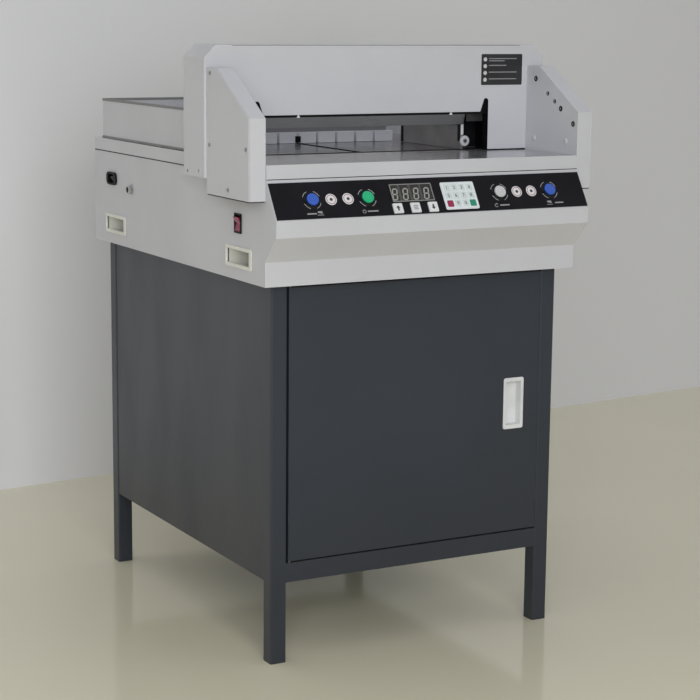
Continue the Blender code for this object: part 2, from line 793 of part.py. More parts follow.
def build_controls(frame, length):
    """Everything on the slope. It returns the openings that the casing needs behind the panel."""
    low = GAP
    top = low + PANEL_SHEET
    through = (-0.02, 0.02)
    panel_x = CASING_X - 0.0015
    panel = box(
        "control_panel",
        (-panel_x, panel_x),
        (-length / 2 + 0.0015, length / 2 - 0.0015),
        (low, top),
        BLACK,
        parent=frame,
    )
    openings = []
    for name, (across, paint) in BUTTONS.items():
        opening = rod(name + "_opening", (across, 0.0), "Z", through, BARREL_R + GAP, parent=frame)
        openings.append(opening)
        cut(panel, opening)
        bezel = rod(
            name + "_bezel",
            (across, 0.0),
            "Z",
            (top + GAP, top + BEZEL_FLANGE),
            BEZEL_R,
            CHROME,
            parent=frame,
            far_radius=BEZEL_R - BEZEL_TAPER,
        )
        spot = (across, 0.0)
        barrel_span = (-BARREL_DEPTH, top + BEZEL_FLANGE - 0.001)
        bore_span = (SHEET - BARREL_DEPTH, through[1])
        join(bezel, rod(name + "_barrel", spot, "Z", barrel_span, BARREL_R, parent=frame))
        cut(bezel, rod(name + "_bore", spot, "Z", bore_span, BUTTON_R + GAP, parent=frame))
        button = rod(
            name,
            (across, 0.0),
            "Z",
            (-0.009, top + BUTTON_PROUD),
            BUTTON_R,
            paint,
            parent=frame,
        )
        soften(button, 0.001)
    display_x = centred(DISPLAY_CENTRE[0], DISPLAY_SIZE[0])
    display_y = centred(DISPLAY_CENTRE[1], DISPLAY_SIZE[1])
    window = box(
        "display_opening",
        widen(display_x, -WINDOW_LIP),
        widen(display_y, -WINDOW_LIP),
        through,
        parent=frame,
    )
    openings.append(window)
    cut(panel, window)
    display = box(
        "display_window",
        display_x,
        display_y,
        (top + GAP, top + 0.0018),
        WINDOW,
        parent=frame,
    )
    join(
        display,
        box(
            "display_module",
            widen(display_x, -WINDOW_LIP - MODULE_PLAY),
            widen(display_y, -WINDOW_LIP - MODULE_PLAY),
            (-0.012, top + 0.001),
            parent=frame,
        ),
    )
    key_play = 0.001
    for name, place in KEYS.items():
        across = DISPLAY_CENTRE[0] + place * KEY_PITCH
        hole = box(
            name + "_opening",
            centred(across, KEY_SIDE + key_play),
            centred(KEY_V, KEY_SIDE + key_play),
            through,
            parent=frame,
        )
        openings.append(hole)
        cut(panel, hole)
        key = plate(
            name,
            rounded(centred(across, KEY_SIDE), centred(KEY_V, KEY_SIDE), 0.0015, 2),
            "Z",
            (-0.005, top + 0.0022),
            WHITE,
            origin=(across, KEY_V, top),
            parent=frame,
        )
        soften(key, 0.0004, 1)
    plate(
        "membrane_keypad",
        rounded(
            centred(KEYPAD_CENTRE[0], KEYPAD_SIZE[0]),
            centred(KEYPAD_CENTRE[1], KEYPAD_SIZE[1]),
            0.003,
            3,
        ),
        "Z",
        (top + GAP, top + 0.0015),
        WHITE,
        parent=frame,
    )
    return openings


# ---------------------------------------------------------------- table and inner frame


def build_table():
    x = (-CASING_X, CASING_X)
    y = (SLOPE_TOP[0], CASING_BACK)
    low = SEAM_Z + 0.0006
    table = box("table_plate", x, y, (low, TABLE_TOP), TABLE_STEEL)
    pocket = box(
        "table_underside",
        widen(x, -FLANGE),
        widen(y, -FLANGE),
        (low - PAST, TABLE_TOP - TABLE_PLATE),
    )
    cut(table, pocket)
    through = (TABLE_TOP - TABLE_PLATE - PAST, TABLE_TOP + PAST)
    for tag, side in (("left", -1), ("right", 1)):
        frame_x = sorted((THROAT_X + side * FRAME_X[0], THROAT_X + side * FRAME_X[1]))
        cut(table, box("frame_hole_" + tag, widen(frame_x, 0.0006), widen(FRAME_Y, 0.0006), through))
        bar_x = centred(THROAT_X + side * YOKE_X, YOKE_BAR + 0.002)
        cut(table, box("yoke_hole_" + tag, bar_x, widen(YOKE_Y, 0.001), through))
    groove = box(
        "stick_groove",
        throat(STICK_HALF + GAP),
        centred(CUT_Y, STICK + 2 * GAP),
        (TABLE_TOP - STICK - 2 * GAP, TABLE_TOP + PAST),
    )
    slot = box("gauge_slot", throat(GAUGE_SLOT_HALF), (CUT_Y + 0.012, GAUGE_SLOT_END), through)
    cut(table, groove, slot)
    box(
        "cutting_stick",
        throat(STICK_HALF),
        centred(CUT_Y, STICK),
        (TABLE_TOP - STICK - GAP, TABLE_TOP - GAP),
        STICK_RED,
    )


def build_inner_frame():
    base_top = STAND_TOP + GAP + BASE_PLATE
    base_x, base_y = BASE_HALF
    ear_x = CASING_X - SHEET - 0.0005
    ear_y = BASE_EAR_Y
    outline = [
        (-base_x, -base_y),
        (base_x, -base_y),
        (base_x, ear_y[0]),
        (ear_x, ear_y[0]),
        (ear_x, ear_y[1]),
        (base_x, ear_y[1]),
        (base_x, base_y),
        (-base_x, base_y),
        (-base_x, ear_y[1]),
        (-ear_x, ear_y[1]),
        (-ear_x, ear_y[0]),
        (-base_x, ear_y[0]),
    ]
    plate("machine_base", outline, "Z", (STAND_TOP + GAP, base_top), CAST)
    for tag, side in (("left", -1), ("right", 1)):
        x = (THROAT_X + side * FRAME_X[0], THROAT_X + side * FRAME_X[1])
        box("side_frame_" + tag, x, FRAME_Y, (base_top + GAP, FRAME_TOP), CAST)
    tie = box(
        "tie_bar",
        throat(FRAME_X[1]),
        TIE_Y,
        (FRAME_TOP + GAP, FRAME_TOP + TIE_HEIGHT),
        CAST,
    )
    hole_span = widen((FRAME_TOP, FRAME_TOP + TIE_HEIGHT), PAST)
    cut(tie, rod("spindle_hole", (THROAT_X, CLAMP_MIDDLE_Y), "Z", hole_span, SPINDLE_R + SPINDLE_PLAY))


def build_clamp():
    clamp = box("clamp_beam", throat(GAUGE_HALF), CLAMP_Y, (CLAMP_LOW, CLAMP_STEP + 0.005), CAST)
    join(clamp, box("clamp_head", throat(FRAME_X[0] - 0.003), CLAMP_Y, (CLAMP_STEP, CLAMP_HIGH)))
    spot = (THROAT_X, CLAMP_MIDDLE_Y)
    bore = (CLAMP_LOW + 0.006, CLAMP_HIGH + PAST)
    cut(clamp, rod("clamp_bore", spot, "Z", bore, SPINDLE_R + SPINDLE_PLAY))
    tie_top = FRAME_TOP + TIE_HEIGHT
    spindle = rod("clamp_spindle", spot, "Z", (CLAMP_LOW + 0.010, tie_top + 0.006), SPINDLE_R, STEEL)
    join(spindle, rod("spindle_collar", spot, "Z", (tie_top + 2 * GAP, tie_top + 0.008), COLLAR_R))


def build_knife():
    edge = TABLE_TOP + THROAT_HEIGHT
    back = CUT_Y
    front = CUT_Y - KNIFE_THICK
    profile = [
        (back, edge),
        (back, edge + KNIFE_HEIGHT),
        (front, edge + KNIFE_HEIGHT),
        (front, edge + KNIFE_BEVEL),
    ]
    plate("knife_blade", profile, "X", throat(KNIFE_HALF), STEEL)
    beam_y = (front - BEAM_THICK, front - GAP)
    box("knife_beam", throat(FRAME_X[0] - 0.0015), beam_y, BEAM_Z, BLACKED)
    # The yoke hangs from the beam, passes through the table and carries the crank pin's slot.
    bar_top = BEAM_Z[0] - GAP
    inner, outer = centred(YOKE_X, YOKE_BAR)
    cross = YOKE_CROSS_Z
    outline = [
        (THROAT_X - outer, bar_top),
        (THROAT_X - outer, cross[0]),
        (THROAT_X + outer, cross[0]),
        (THROAT_X + outer, bar_top),
        (THROAT_X + inner, bar_top),
        (THROAT_X + inner, cross[1]),
        (THROAT_X - inner, cross[1]),
        (THROAT_X - inner, bar_top),
    ]
    slot_z = centred(CRANK_AXIS_Z + CRANK_THROW, YOKE_SLOT_HEIGHT)
    slot = rounded(throat(CRANK_THROW + 1.5 * CRANK_PIN_R), slot_z, CRANK_PIN_R, 3)
    plate("knife_yoke", outline, "Y", YOKE_Y, STEEL, holes=[slot])


def build_knife_drive():
    axis = (THROAT_X, CRANK_AXIS_Z)
    disc = rod("knife_crank", axis, "Y", CRANK_Y, CRANK_R, STEEL, origin=(THROAT_X, CUT_Y, CRANK_AXIS_Z))
    pin_spot = (THROAT_X, CRANK_AXIS_Z + CRANK_THROW)
    pin_y = (YOKE_Y[0] - 0.001, CRANK_Y[0] + 0.0005)
    shaft_end = GEARBOX_Y[0] + 0.0265
    join(
        disc,
        rod("crank_pin", pin_spot, "Y", pin_y, CRANK_PIN_R, sides=16),
        rod("crank_shaft", axis, "Y", (CRANK_Y[1] - 0.001, shaft_end), CRANK_SHAFT_R, sides=24),
    )
    floor_z = STAND_TOP + BASE_PLATE + 3 * GAP
    gearbox = box("drive_gearbox", centred(THROAT_X, GEARBOX_WIDTH), GEARBOX_Y, (floor_z, GEARBOX_TOP), CAST)
    bore_y = (GEARBOX_Y[0] - PAST, shaft_end + 0.003)
    cut(gearbox, rod("gearbox_bore", axis, "Y", bore_y, CRANK_SHAFT_R + 0.0004, sides=24))
    motor = rod("drive_motor", axis, "Y", (GEARBOX_Y[1] + GAP, MOTOR_BACK), MOTOR_R, BLACKED)
    foot_y = (GEARBOX_Y[1] + 0.030, MOTOR_BACK - 0.030)
    foot_z = (floor_z, CRANK_AXIS_Z - MOTOR_R / 2)
    join(motor, box("motor_foot", centred(THROAT_X, MOTOR_FOOT), foot_y, foot_z))


def build_backgauge():
    span = throat(GAUGE_HALF)
    low = TABLE_TOP + 0.0005
    comb_back = GAUGE_FRONT + COMB_REACH
    root = GAUGE_FRONT + COMB_DEPTH
    pitch = (span[1] - span[0]) / COMB_TEETH
    last = COMB_TEETH - 1
    outline = []
    for number in range(COMB_TEETH):
        start = span[0] + number * pitch
        end = start + pitch
        if number > 0:
            start += COMB_HALF_GAP
            outline.append((start, root))
        if number < last:
            end -= COMB_HALF_GAP
        outline += [(start, GAUGE_FRONT), (end, GAUGE_FRONT)]
        if number < last:
            outline.append((end, root))
    outline += [(span[1], comb_back), (span[0], comb_back)]
    plate("backgauge_comb", outline, "Z", (low, COMB_TOP), PALE)
    bar_y = (comb_back + GAP, comb_back + CARRIAGE_THICK)
    carriage = box("backgauge_carriage", span, bar_y, (low, CARRIAGE_TOP), BLACKED)
    # A neck reaches through the table's slot to the nut that runs on the screw.
    neck_y = (bar_y[0] + 0.001, bar_y[1] + 0.016)
    neck = box("carriage_neck", throat(NECK_HALF), neck_y, (SCREW_Z + 0.003, low + 0.004))
    nut = box("carriage_nut", throat(NUT_HALF), neck_y, (SCREW_Z - 0.013, SCREW_Z + 0.0175))
    join(carriage, neck, nut)
    spot = (THROAT_X, SCREW_Z)
    cut(carriage, rod("nut_bore", spot, "Y", widen(neck_y, PAST), SCREW_R + 0.0005, sides=24))
    screw = rod("backgauge_screw", spot, "Y", (CUT_Y + 0.012, SCREW_END), SCREW_R, STEEL, sides=24)
    join(screw, rod("screw_pulley", spot, "Y", (SCREW_END - 0.006, SCREW_END + 0.008), PULLEY_R, sides=24))
    motor = box("backgauge_motor", throat(GAUGE_MOTOR_HALF), GAUGE_MOTOR_Y, GAUGE_MOTOR_Z, BLACKED)
    soften(motor, 0.003, 1)


def build_side_lays():
    for tag, side in (("left", -1), ("right", 1)):
        inner = THROAT_X + side * THROAT_HALF
        low = TABLE_TOP + GAP
        x = (inner, inner + side * LAY_THICK)
        lay = box("side_lay_" + tag, x, LAY_Y, (low, TABLE_TOP + THROAT_HEIGHT), CAST)
        foot_x = (inner + side * (LAY_THICK - 0.002), inner + side * 4 * LAY_THICK)
        join(lay, box("lay_foot_" + tag, foot_x, LAY_FOOT_Y, (low, TABLE_TOP + LAY_FOOT_HEIGHT)))


# ---------------------------------------------------------------- hood and guards


def build_hood():
    front = HOOD_Y[0] + COVER_SHEET + GAP
    outer = [
        (-HOOD_X, HOOD_LOW),
        (HOOD_X, HOOD_LOW),
        (HOOD_X, HOOD_SIDE_TOP),
        (HOOD_X - HOOD_CHAMFER, HOOD_TOP),
        (-HOOD_X + HOOD_CHAMFER, HOOD_TOP),
        (-HOOD_X, HOOD_SIDE_TOP),
    ]
    shift = SHEET * (math.sqrt(2) - 1)
    inner_x = HOOD_X - SHEET
    inner_top = HOOD_TOP - SHEET
    ledge = CASING_X + GAP
    inner = [
        (-inner_x, HOOD_LOW + SHEET),
        (-ledge, HOOD_LOW + SHEET),
        (-ledge, HOOD_LOW - PAST),
        (ledge, HOOD_LOW - PAST),
        (ledge, HOOD_LOW + SHEET),
        (inner_x, HOOD_LOW + SHEET),
        (inner_x, HOOD_SIDE_TOP - shift),
        (HOOD_X - HOOD_CHAMFER - shift, inner_top),
        (-HOOD_X + HOOD_CHAMFER + shift, inner_top),
        (-inner_x, HOOD_SIDE_TOP - shift),
    ]
    hood = plate("hood_shell", outer, "Y", (front, HOOD_Y[1]), GREY)
    cut(hood, plate("hood_inside", inner, "Y", (front - PAST, HOOD_Y[1] - SHEET)))
    opening_x = throat(REAR_OPENING_HALF)
    rear_opening = [
        (-ledge, HOOD_LOW - PAST),
        (ledge, HOOD_LOW - PAST),
        (ledge, TABLE_TOP + GAP),
        (opening_x[1], TABLE_TOP + GAP),
        (opening_x[1], GUARD_TOP + 0.001),
        (opening_x[0], GUARD_TOP + 0.001),
        (opening_x[0], TABLE_TOP + GAP),
        (-ledge, TABLE_TOP + GAP),
    ]
    cut(hood, plate("hood_rear_opening", rear_opening, "Y", (HOOD_Y[1] - PAST, HOOD_Y[1] + PAST)))
    for tag, side in (("left", -1), ("right", 1)):
        for number, spot in enumerate(HOOD_SEATS):
            cut(hood, screw_seat("hood_seat_" + tag + "_" + str(number), spot, "X", side * HOOD_X, side))


def build_front_cover():
    """The hood's front sheet: a skirt between two pillars, parted from them by round-topped notches."""
    edge = HOOD_X
    step = CASING_X + GAP
    chamfer_x = HOOD_X - HOOD_CHAMFER
    right_notch = (COVER_RIGHT_PILLAR - NOTCH_R, NOTCH_TOP)
    left_notch = (COVER_LEFT_PILLAR + NOTCH_R, NOTCH_TOP)
    outline = [
        (-edge, HOOD_LOW),
        (-step, HOOD_LOW),
        (-step, PILLAR_LOW),
        (COVER_LEFT_PILLAR, PILLAR_LOW),
        *arc(left_notch, NOTCH_R, 180, 0),
        (COVER_LEFT_PILLAR + 2 * NOTCH_R + NOTCH_SPREAD, COVER_LOW),
        (COVER_RIGHT_PILLAR - 2 * NOTCH_R - NOTCH_SPREAD, COVER_LOW),
        *arc(right_notch, NOTCH_R, 180, 0),
        (COVER_RIGHT_PILLAR, PILLAR_LOW),
        (step, PILLAR_LOW),
        (step, HOOD_LOW),
        (edge, HOOD_LOW),
        (edge, HOOD_SIDE_TOP),
        (chamfer_x, HOOD_TOP),
        (-chamfer_x, HOOD_TOP),
        (-edge, HOOD_SIDE_TOP),
    ]
    plate("front_cover", outline, "Y", (HOOD_Y[0], HOOD_Y[0] + COVER_SHEET), GREY)


def wing_outline(inset):
    """A side guard seen from the side, with every edge moved inwards by the inset."""
    fall = Vector((WING_TOP_FRONT - WING_FRONT, WING_TOP - WING_FRONT_TOP))
    top_shift = inset * (fall.length - fall.x) / fall.y
    front_shift = inset * (fall.length - fall.y) / fall.x
    back = HOOD_Y[0] - GAP
    return [
        (WING_FRONT + inset, WING_LOW + inset),
        (back - inset, WING_LOW + inset),
        (back - inset, WING_TOP - inset),
        (WING_TOP_FRONT + top_shift, WING_TOP - inset),
        (WING_FRONT + inset, WING_FRONT_TOP - front_shift),
    ]


def build_wings():
    for tag, side in (("left", -1), ("right", 1)):
        inner = side * WING_X[0]
        seam = side * (WING_X[1] - SHEET - GAP)
        outer = side * WING_X[1]
        wing = plate("wing_" + tag, wing_outline(0.0), "X", sorted((inner, seam)), GREY)
        hollow_span = sorted((inner + side * SHEET, seam + side * PAST))
        cut(wing, plate("wing_hollow_" + tag, wing_outline(SHEET), "X", hollow_span))
        for number, spot in enumerate(SENSOR_HOLES):
            hole_span = sorted((inner - side * PAST, inner + side * PAST))
            hole_name = "sensor_hole_" + tag + "_" + str(number)
            cut(wing, rod(hole_name, spot, "X", hole_span, SENSOR_HOLE_R, sides=16))
        plate("wing_plate_" + tag, wing_outline(0.0), "X", sorted((outer - side * SHEET, outer)), GREY)


def build_rear_guard():
    wall = SHEET
    front = HOOD_Y[1] + GAP
    outline = [
        (-GUARD_X, front),
        (-GUARD_X + wall, front),
        (-GUARD_X + wall, GUARD_BACK - wall),
        (GUARD_X - wall, GUARD_BACK - wall),
        (GUARD_X - wall, front),
        (GUARD_X, front),
        (GUARD_X, GUARD_BACK),
        (-GUARD_X, GUARD_BACK),
    ]
    plate("rear_guard", outline, "Z", (TABLE_TOP + GAP, GUARD_TOP), GREY)


slope, slope_length = slope_frame()
panel_openings = build_controls(slope, slope_length)
build_casing(panel_openings)
build_carry_handles()
build_power_inlet()
build_key_switch()
build_rocker()
build_cabinet_frame()
build_cabinet_panels()
build_door()
build_door_pull()
build_table()
build_inner_frame()
build_clamp()
build_knife()
build_knife_drive()
build_backgauge()
build_side_lays()
build_hood()
build_front_cover()
build_wings()
build_rear_guard()
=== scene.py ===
"""Looks of the guillotine paper cutter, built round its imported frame.

Metres, in the frame's own axes: +Z up, front towards -Y, +X to the right of a person at the controls.
Every place is taken from the frame's boxes, and every small part is made once and set out by a loop.
"""

import json
import math

import bmesh
import bpy
from mathutils import Matrix, Vector


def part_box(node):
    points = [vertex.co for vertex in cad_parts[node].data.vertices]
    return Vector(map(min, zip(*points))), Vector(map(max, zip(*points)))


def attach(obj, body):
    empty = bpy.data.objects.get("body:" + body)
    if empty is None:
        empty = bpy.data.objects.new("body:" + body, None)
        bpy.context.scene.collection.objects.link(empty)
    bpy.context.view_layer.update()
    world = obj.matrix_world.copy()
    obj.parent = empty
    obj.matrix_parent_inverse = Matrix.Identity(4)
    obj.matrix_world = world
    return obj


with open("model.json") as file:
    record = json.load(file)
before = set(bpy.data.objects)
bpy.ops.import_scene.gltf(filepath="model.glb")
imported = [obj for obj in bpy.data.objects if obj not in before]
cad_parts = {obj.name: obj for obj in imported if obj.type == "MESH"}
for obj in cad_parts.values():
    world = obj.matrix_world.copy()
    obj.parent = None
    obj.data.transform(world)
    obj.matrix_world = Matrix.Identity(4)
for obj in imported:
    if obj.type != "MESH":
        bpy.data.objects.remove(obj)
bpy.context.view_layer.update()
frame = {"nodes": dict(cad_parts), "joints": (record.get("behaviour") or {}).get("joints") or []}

UP = Vector((0, 0, 1))
LEFT, RIGHT = Vector((-1, 0, 0)), Vector((1, 0, 0))
FRONT, REAR = Vector((0, -1, 0)), Vector((0, 1, 0))
SIDES = (("left", LEFT), ("right", RIGHT))

# Edges of the CAD pieces: folded sheet has the larger radius.
SHEET_EDGE = 0.0007
CAST_EDGE = 0.001
SMALL_EDGE = 0.0003
# Edges sharper than this stay sharp in the shading.
SHARP = math.radians(35)
# How far a printed or stuck-on mark stands off the face under it.
PRINT = 0.00012
# The hair's breadth between a fitted piece and the face behind it.
LIFT = 0.00002
# How far the painted shade spreads beside the stick and the slot in the table, and half the slot's width.
SHADE_REACH = 0.0045
SLOT_HALF = 0.0065

# ---------------------------------------------------------------- materials


class Look:
    """A material's node tree, built up from its Principled shader."""

    def __init__(self, name):
        self.material = bpy.data.materials.new(name)
        self.material.use_nodes = True
        self.tree = self.material.node_tree
        self.shader = self.tree.nodes["Principled BSDF"]
        self.place = self.tree.nodes.new("ShaderNodeTexCoord").outputs["Object"]
        self.geometry = self.tree.nodes.new("ShaderNodeNewGeometry")

    def feed(self, socket, value):
        """A socket takes another node's output, a number or a colour."""
        if isinstance(value, bpy.types.NodeSocket):
            self.tree.links.new(value, socket)
        elif socket.type == "RGBA" and len(value) == 3:
            socket.default_value = (*value, 1)
        else:
            socket.default_value = value

    def fill(self, node, values):
        for name, value in values.items():
            self.feed(node.inputs[name.replace("_", " ")], value)
        return node

    def node(self, kind, **values):
        return self.fill(self.tree.nodes.new("ShaderNode" + kind), values)

    def made(self, **values):
        """The finished material, once its shader's inputs are filled."""
        self.fill(self.shader, values)
        return self.material

    def noise(self, scale, detail=2, stretch=(1, 1, 1)):
        mapping = self.node("Mapping", Vector=self.place, Scale=stretch)
        return self.node("TexNoise", Vector=mapping.outputs["Vector"], Scale=scale, Detail=detail).outputs["Fac"]

    def scale(self, value, low, high, to_low=0, to_high=1):
        """The value's range low to high becomes to_low to to_high, held at both ends."""
        made = self.node("MapRange", Value=value, From_Min=low, From_Max=high, To_Min=to_low, To_Max=to_high)
        return made.outputs["Result"]

    def between(self, value, at_0, at_1):
        return self.scale(value, 0, 1, at_0, at_1)

    def cloud(self, size, detail, low=0.35, high=0.65, to_low=0, to_high=1):
        """Noise whose middle range is brought into a span."""
        return self.scale(self.noise(size, detail), low, high, to_low, to_high)

    def mix(self, factor, first, second):
        made = self.node("Mix")
        made.data_type = "RGBA"
        for slot, value in ((0, factor), (6, first), (7, second)):
            self.feed(made.inputs[slot], value)
        return made.outputs[2]

    def math(self, operation, first, second=0, kind="Math"):
        made = self.node(kind)
        made.operation = operation
        self.feed(made.inputs[0], first)
        self.feed(made.inputs[1], second)
        return made.outputs["Value"]

    def times(self, first, second):
        return self.math("MULTIPLY", first, second)

    def bump(self, height, depth):
        return self.node("Bump", Height=height, Distance=depth).outputs["Normal"]

    def axes(self, source=None):
        """The parts X, Y and Z of the place, or of another vector."""
        return self.node("SeparateXYZ", Vector=source or self.place).outputs

    def upward(self):
        """How far a face looks up: 1 on top, 0 on a wall, below 0 underneath."""
        return self.axes(self.geometry.outputs["True Normal"])["Z"]

    def inside(self, low, high):
        """1 inside a box and 0 outside it."""
        within = 1
        for value, least, most in zip(self.axes(), low, high):
            both = self.times(self.math("GREATER_THAN", value, least), self.math("LESS_THAN", value, most))
            within = self.times(both, within)
        return within

    def edge(self, radius=0.0012):
        """1 along the edges and 0 on flat faces."""
        rounded = self.node("Bevel", Radius=radius)
        rounded.samples = 4
        normals = rounded.outputs["Normal"], self.geometry.outputs["True Normal"]
        return self.scale(self.math("DOT_PRODUCT", *normals, "VectorMath"), 0.97, 0.8)


def shade(colour, by):
    return tuple(min(1, part * by) for part in colour)


def powder_coat(name, colour, rough, worn, dust=0.1, shaded_box=None, foot=None):
    """Baked powder paint: fine orange peel, slow changes of tone, thin paint on the edges, dust on what looks up.

    The shaded box is a box, inside which the sheet is darkened with painted shade. The foot is two heights, between
    which the paint grows darker downwards.
    """
    look = Look(name)
    broad = look.cloud(4, 4)
    speck = look.cloud(260, 3, 0.6, 0.72, 0, 0.22)
    tone = look.mix(broad, shade(colour, 0.965), shade(colour, 1.03))
    tone = look.mix(speck, tone, shade(colour, 0.9))
    rub = look.times(look.edge(), look.cloud(35, 5, 0.46, 0.66, 0, 0.75))
    tone = look.mix(rub, tone, worn)
    settled = look.times(look.scale(look.upward(), 0.4, 0.95, 0, dust), look.noise(22, 5))
    tone = look.mix(settled, tone, (0.46, 0.44, 0.4))
    if foot:
        tone = look.mix(look.scale(look.axes()["Z"], *foot, 0.38, 0), tone, shade(colour, 0.5))
    # Painted shade: inside the shaded box the sheet is darkened, for the shade inside the hood.
    if shaded_box:
        tone = look.mix(look.inside(*shaded_box), tone, (0.01, 0.011, 0.013))
    smudge = look.noise(9, 6, (1, 1, 0.35))
    peel = look.math("ADD", look.noise(620, 2), look.times(look.noise(160, 2), 1.4))
    return look.made(
        Base_Color=tone,
        Roughness=look.scale(smudge, 0.35, 0.7, rough - 0.05, rough + 0.07),
        Normal=look.bump(peel, 0.00006),
    )


def ground_metal(name, colour, rough, lines, along="X", metallic=1):
    """Metal with fine lines from grinding or brushing, long in the direction along."""
    look = Look(name)
    stretch = tuple(0.02 if axis == along else 1 for axis in "XYZ")
    fine = look.noise(lines, 4, stretch)
    broad = look.noise(7, 5)
    stain = look.cloud(18, 6, 0.55, 0.8, 0, 0.35)
    tone = look.mix(look.scale(fine, 0.3, 0.7), shade(colour, 0.9), shade(colour, 1.08))
    tone = look.mix(stain, tone, shade(colour, 0.82))
    dull = look.scale(broad, 0.35, 0.65, rough * 0.8, rough * 1.2)
    ground = look.times(look.scale(fine, 0.25, 0.75, 0.8, 1.25), dull)
    return look.made(Base_Color=tone, Metallic=metallic, Roughness=ground, Normal=look.bump(fine, 0.00001))


def cast_metal(name, colour, rough):
    """Machined casting under thin dark paint: a sandy skin, with bare metal on rubbed edges."""
    look = Look(name)
    sand = look.noise(420, 5)
    patches = look.cloud(14, 5)
    tone = look.mix(patches, shade(colour, 0.82), shade(colour, 1.15))
    rub = look.times(look.edge(0.0016), look.cloud(60, 4, 0.42, 0.62, 0, 0.8))
    tone = look.mix(rub, tone, (0.34, 0.34, 0.34))
    return look.made(
        Base_Color=tone,
        Metallic=look.between(rub, 0.15, 0.9),
        Roughness=look.scale(sand, 0.3, 0.7, rough - 0.06, rough + 0.08),
        Normal=look.bump(sand, 0.00012),
    )


def moulded(name, colour, rough, grain=0.00003, coat=0, through=0, shine=0.5, depth=None):
    """Moulded plastic: a fine spark-eroded grain, faint flow marks and rubbed corners.

    The depth is how far from the middle plane a hollow's floor and its rim lie; the floor is darkened with painted
    shade.
    """
    look = Look(name)
    skin = look.noise(1500, 2)
    flow = look.cloud(24, 4)
    tone = look.mix(flow, shade(colour, 0.94), shade(colour, 1.05))
    if depth:
        # Painted shade: the hollow's floor grows darker the deeper it lies.
        out = look.math("ABSOLUTE", look.axes()["X"])
        tone = look.mix(look.scale(out, *depth, 0.85, 0), tone, shade(colour, 0.25))
    rub = look.times(look.edge(0.0008), look.cloud(90, 4, 0.45, 0.65, 0, 0.5))
    tone = look.mix(rub, tone, tuple(0.75 * part + 0.2 * max(colour) + 0.01 for part in colour))
    return look.made(
        Base_Color=tone,
        Roughness=look.cloud(70, 4, 0.3, 0.7, rough - 0.05, rough + 0.06),
        Normal=look.bump(skin, grain),
        Coat_Weight=coat,
        Coat_Roughness=0.08,
        Subsurface_Weight=through,
        Subsurface_Radius=(0.002, 0.002, 0.002),
        Specular_IOR_Level=shine,
    )


def table_steel():
    """The table: a polished top with painted shade along its stick and slot and behind the stick, painted sides, and
    painted shade on its inner edges.
    """
    look = Look("polished_table_steel")
    lines = look.noise(900, 4, (1, 0.02, 1))
    stain = look.cloud(16, 6, 0.5, 0.8, 0, 0.3)
    top = look.mix(look.scale(lines, 0.3, 0.7), (0.58, 0.58, 0.6), (0.66, 0.66, 0.68))
    top = look.mix(stain, top, (0.5, 0.5, 0.5))
    low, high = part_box("table_plate")
    stick_low, stick_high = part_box("cutting_stick")
    screw_low, screw_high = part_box("backgauge_screw")
    painted_shade = (0.012, 0.011, 0.012)
    # Painted shade and painted reflection: the top behind the stick is darkened, fading out towards the rear, for the
    # dark opening under the knife and clamp.
    behind = look.inside((low.x, stick_high.y, low.z), (high.x, high.y, high.z + SHADE_REACH))
    fade = look.scale(look.axes()["Y"], 0.02, high.y - 0.05, 0.85, 0)
    top = look.mix(look.times(behind, fade), top, (0.17, 0.165, 0.18))
    # Painted shade: dark bands beside the stick and the slot stand in for the shade in their grooves.
    along = Vector((0, SHADE_REACH * 1.5, SHADE_REACH))
    beside = Vector((SHADE_REACH * 0.5, 0, SHADE_REACH))
    slot_low = Vector(((screw_low.x + screw_high.x) / 2 - SLOT_HALF, stick_low.y, low.z))
    slot_high = Vector((slot_low.x + 2 * SLOT_HALF, screw_high.y, high.z))
    by_stick = look.inside(stick_low - along, stick_high + along)
    by_slot = look.inside(slot_low - beside, slot_high + beside)
    groove_shade = look.math("MAXIMUM", by_stick, by_slot)
    # Painted shade: faces inside the table's outline, such as the walls of its slot and holes, are darkened.
    skin = Vector((0.001, 0.001, -SHADE_REACH))
    within = look.inside(low + skin, high - skin)
    upward = look.scale(look.upward(), 0.6, 0.8)
    paint = look.mix(look.cloud(4, 4), (0.575, 0.577, 0.604), (0.61, 0.612, 0.64))
    paint = look.mix(within, paint, painted_shade)
    rough = look.cloud(30, 5, 0.3, 0.7, 0.15, 0.24)
    rough = look.math("ADD", look.times(rough, upward), look.between(upward, 0.36, 0))
    return look.made(
        Base_Color=look.mix(groove_shade, look.mix(upward, paint, top), painted_shade),
        Metallic=look.times(look.between(upward, 0, 0.8), look.between(groove_shade, 1, 0)),
        Roughness=look.math("MAXIMUM", rough, look.between(groove_shade, 0, 0.7)),
        Specular_IOR_Level=look.between(look.math("MAXIMUM", groove_shade, within), 0.5, 0.05),
        Normal=look.bump(lines, 0.000004),
    )


def scored_stick():
    """The cutting stick, with the lines that the knife's edge leaves in it."""
    look = Look("scored_stick")
    cuts = look.noise(900, 3, (0.03, 1, 1))
    tone = look.mix(look.scale(cuts, 0.45, 0.6), (0.06, 0.006, 0.009), (0.012, 0.003, 0.004))
    return look.made(Base_Color=tone, Roughness=0.7, Normal=look.bump(cuts, 0.0001), Specular_IOR_Level=0.1)


def dark_window():
    """Smoked acrylic over the display, with a faint haze of fingerprints."""
    look = Look("smoked_acrylic")
    prints = look.cloud(45, 5, 0.45, 0.75, 0.04, 0.22)
    tone = look.mix(look.noise(30, 2), (0.026, 0.025, 0.021), (0.038, 0.036, 0.03))
    return look.made(Base_Color=tone, Roughness=prints, Coat_Weight=0.3, Coat_Roughness=0.05, Specular_IOR_Level=0.3)


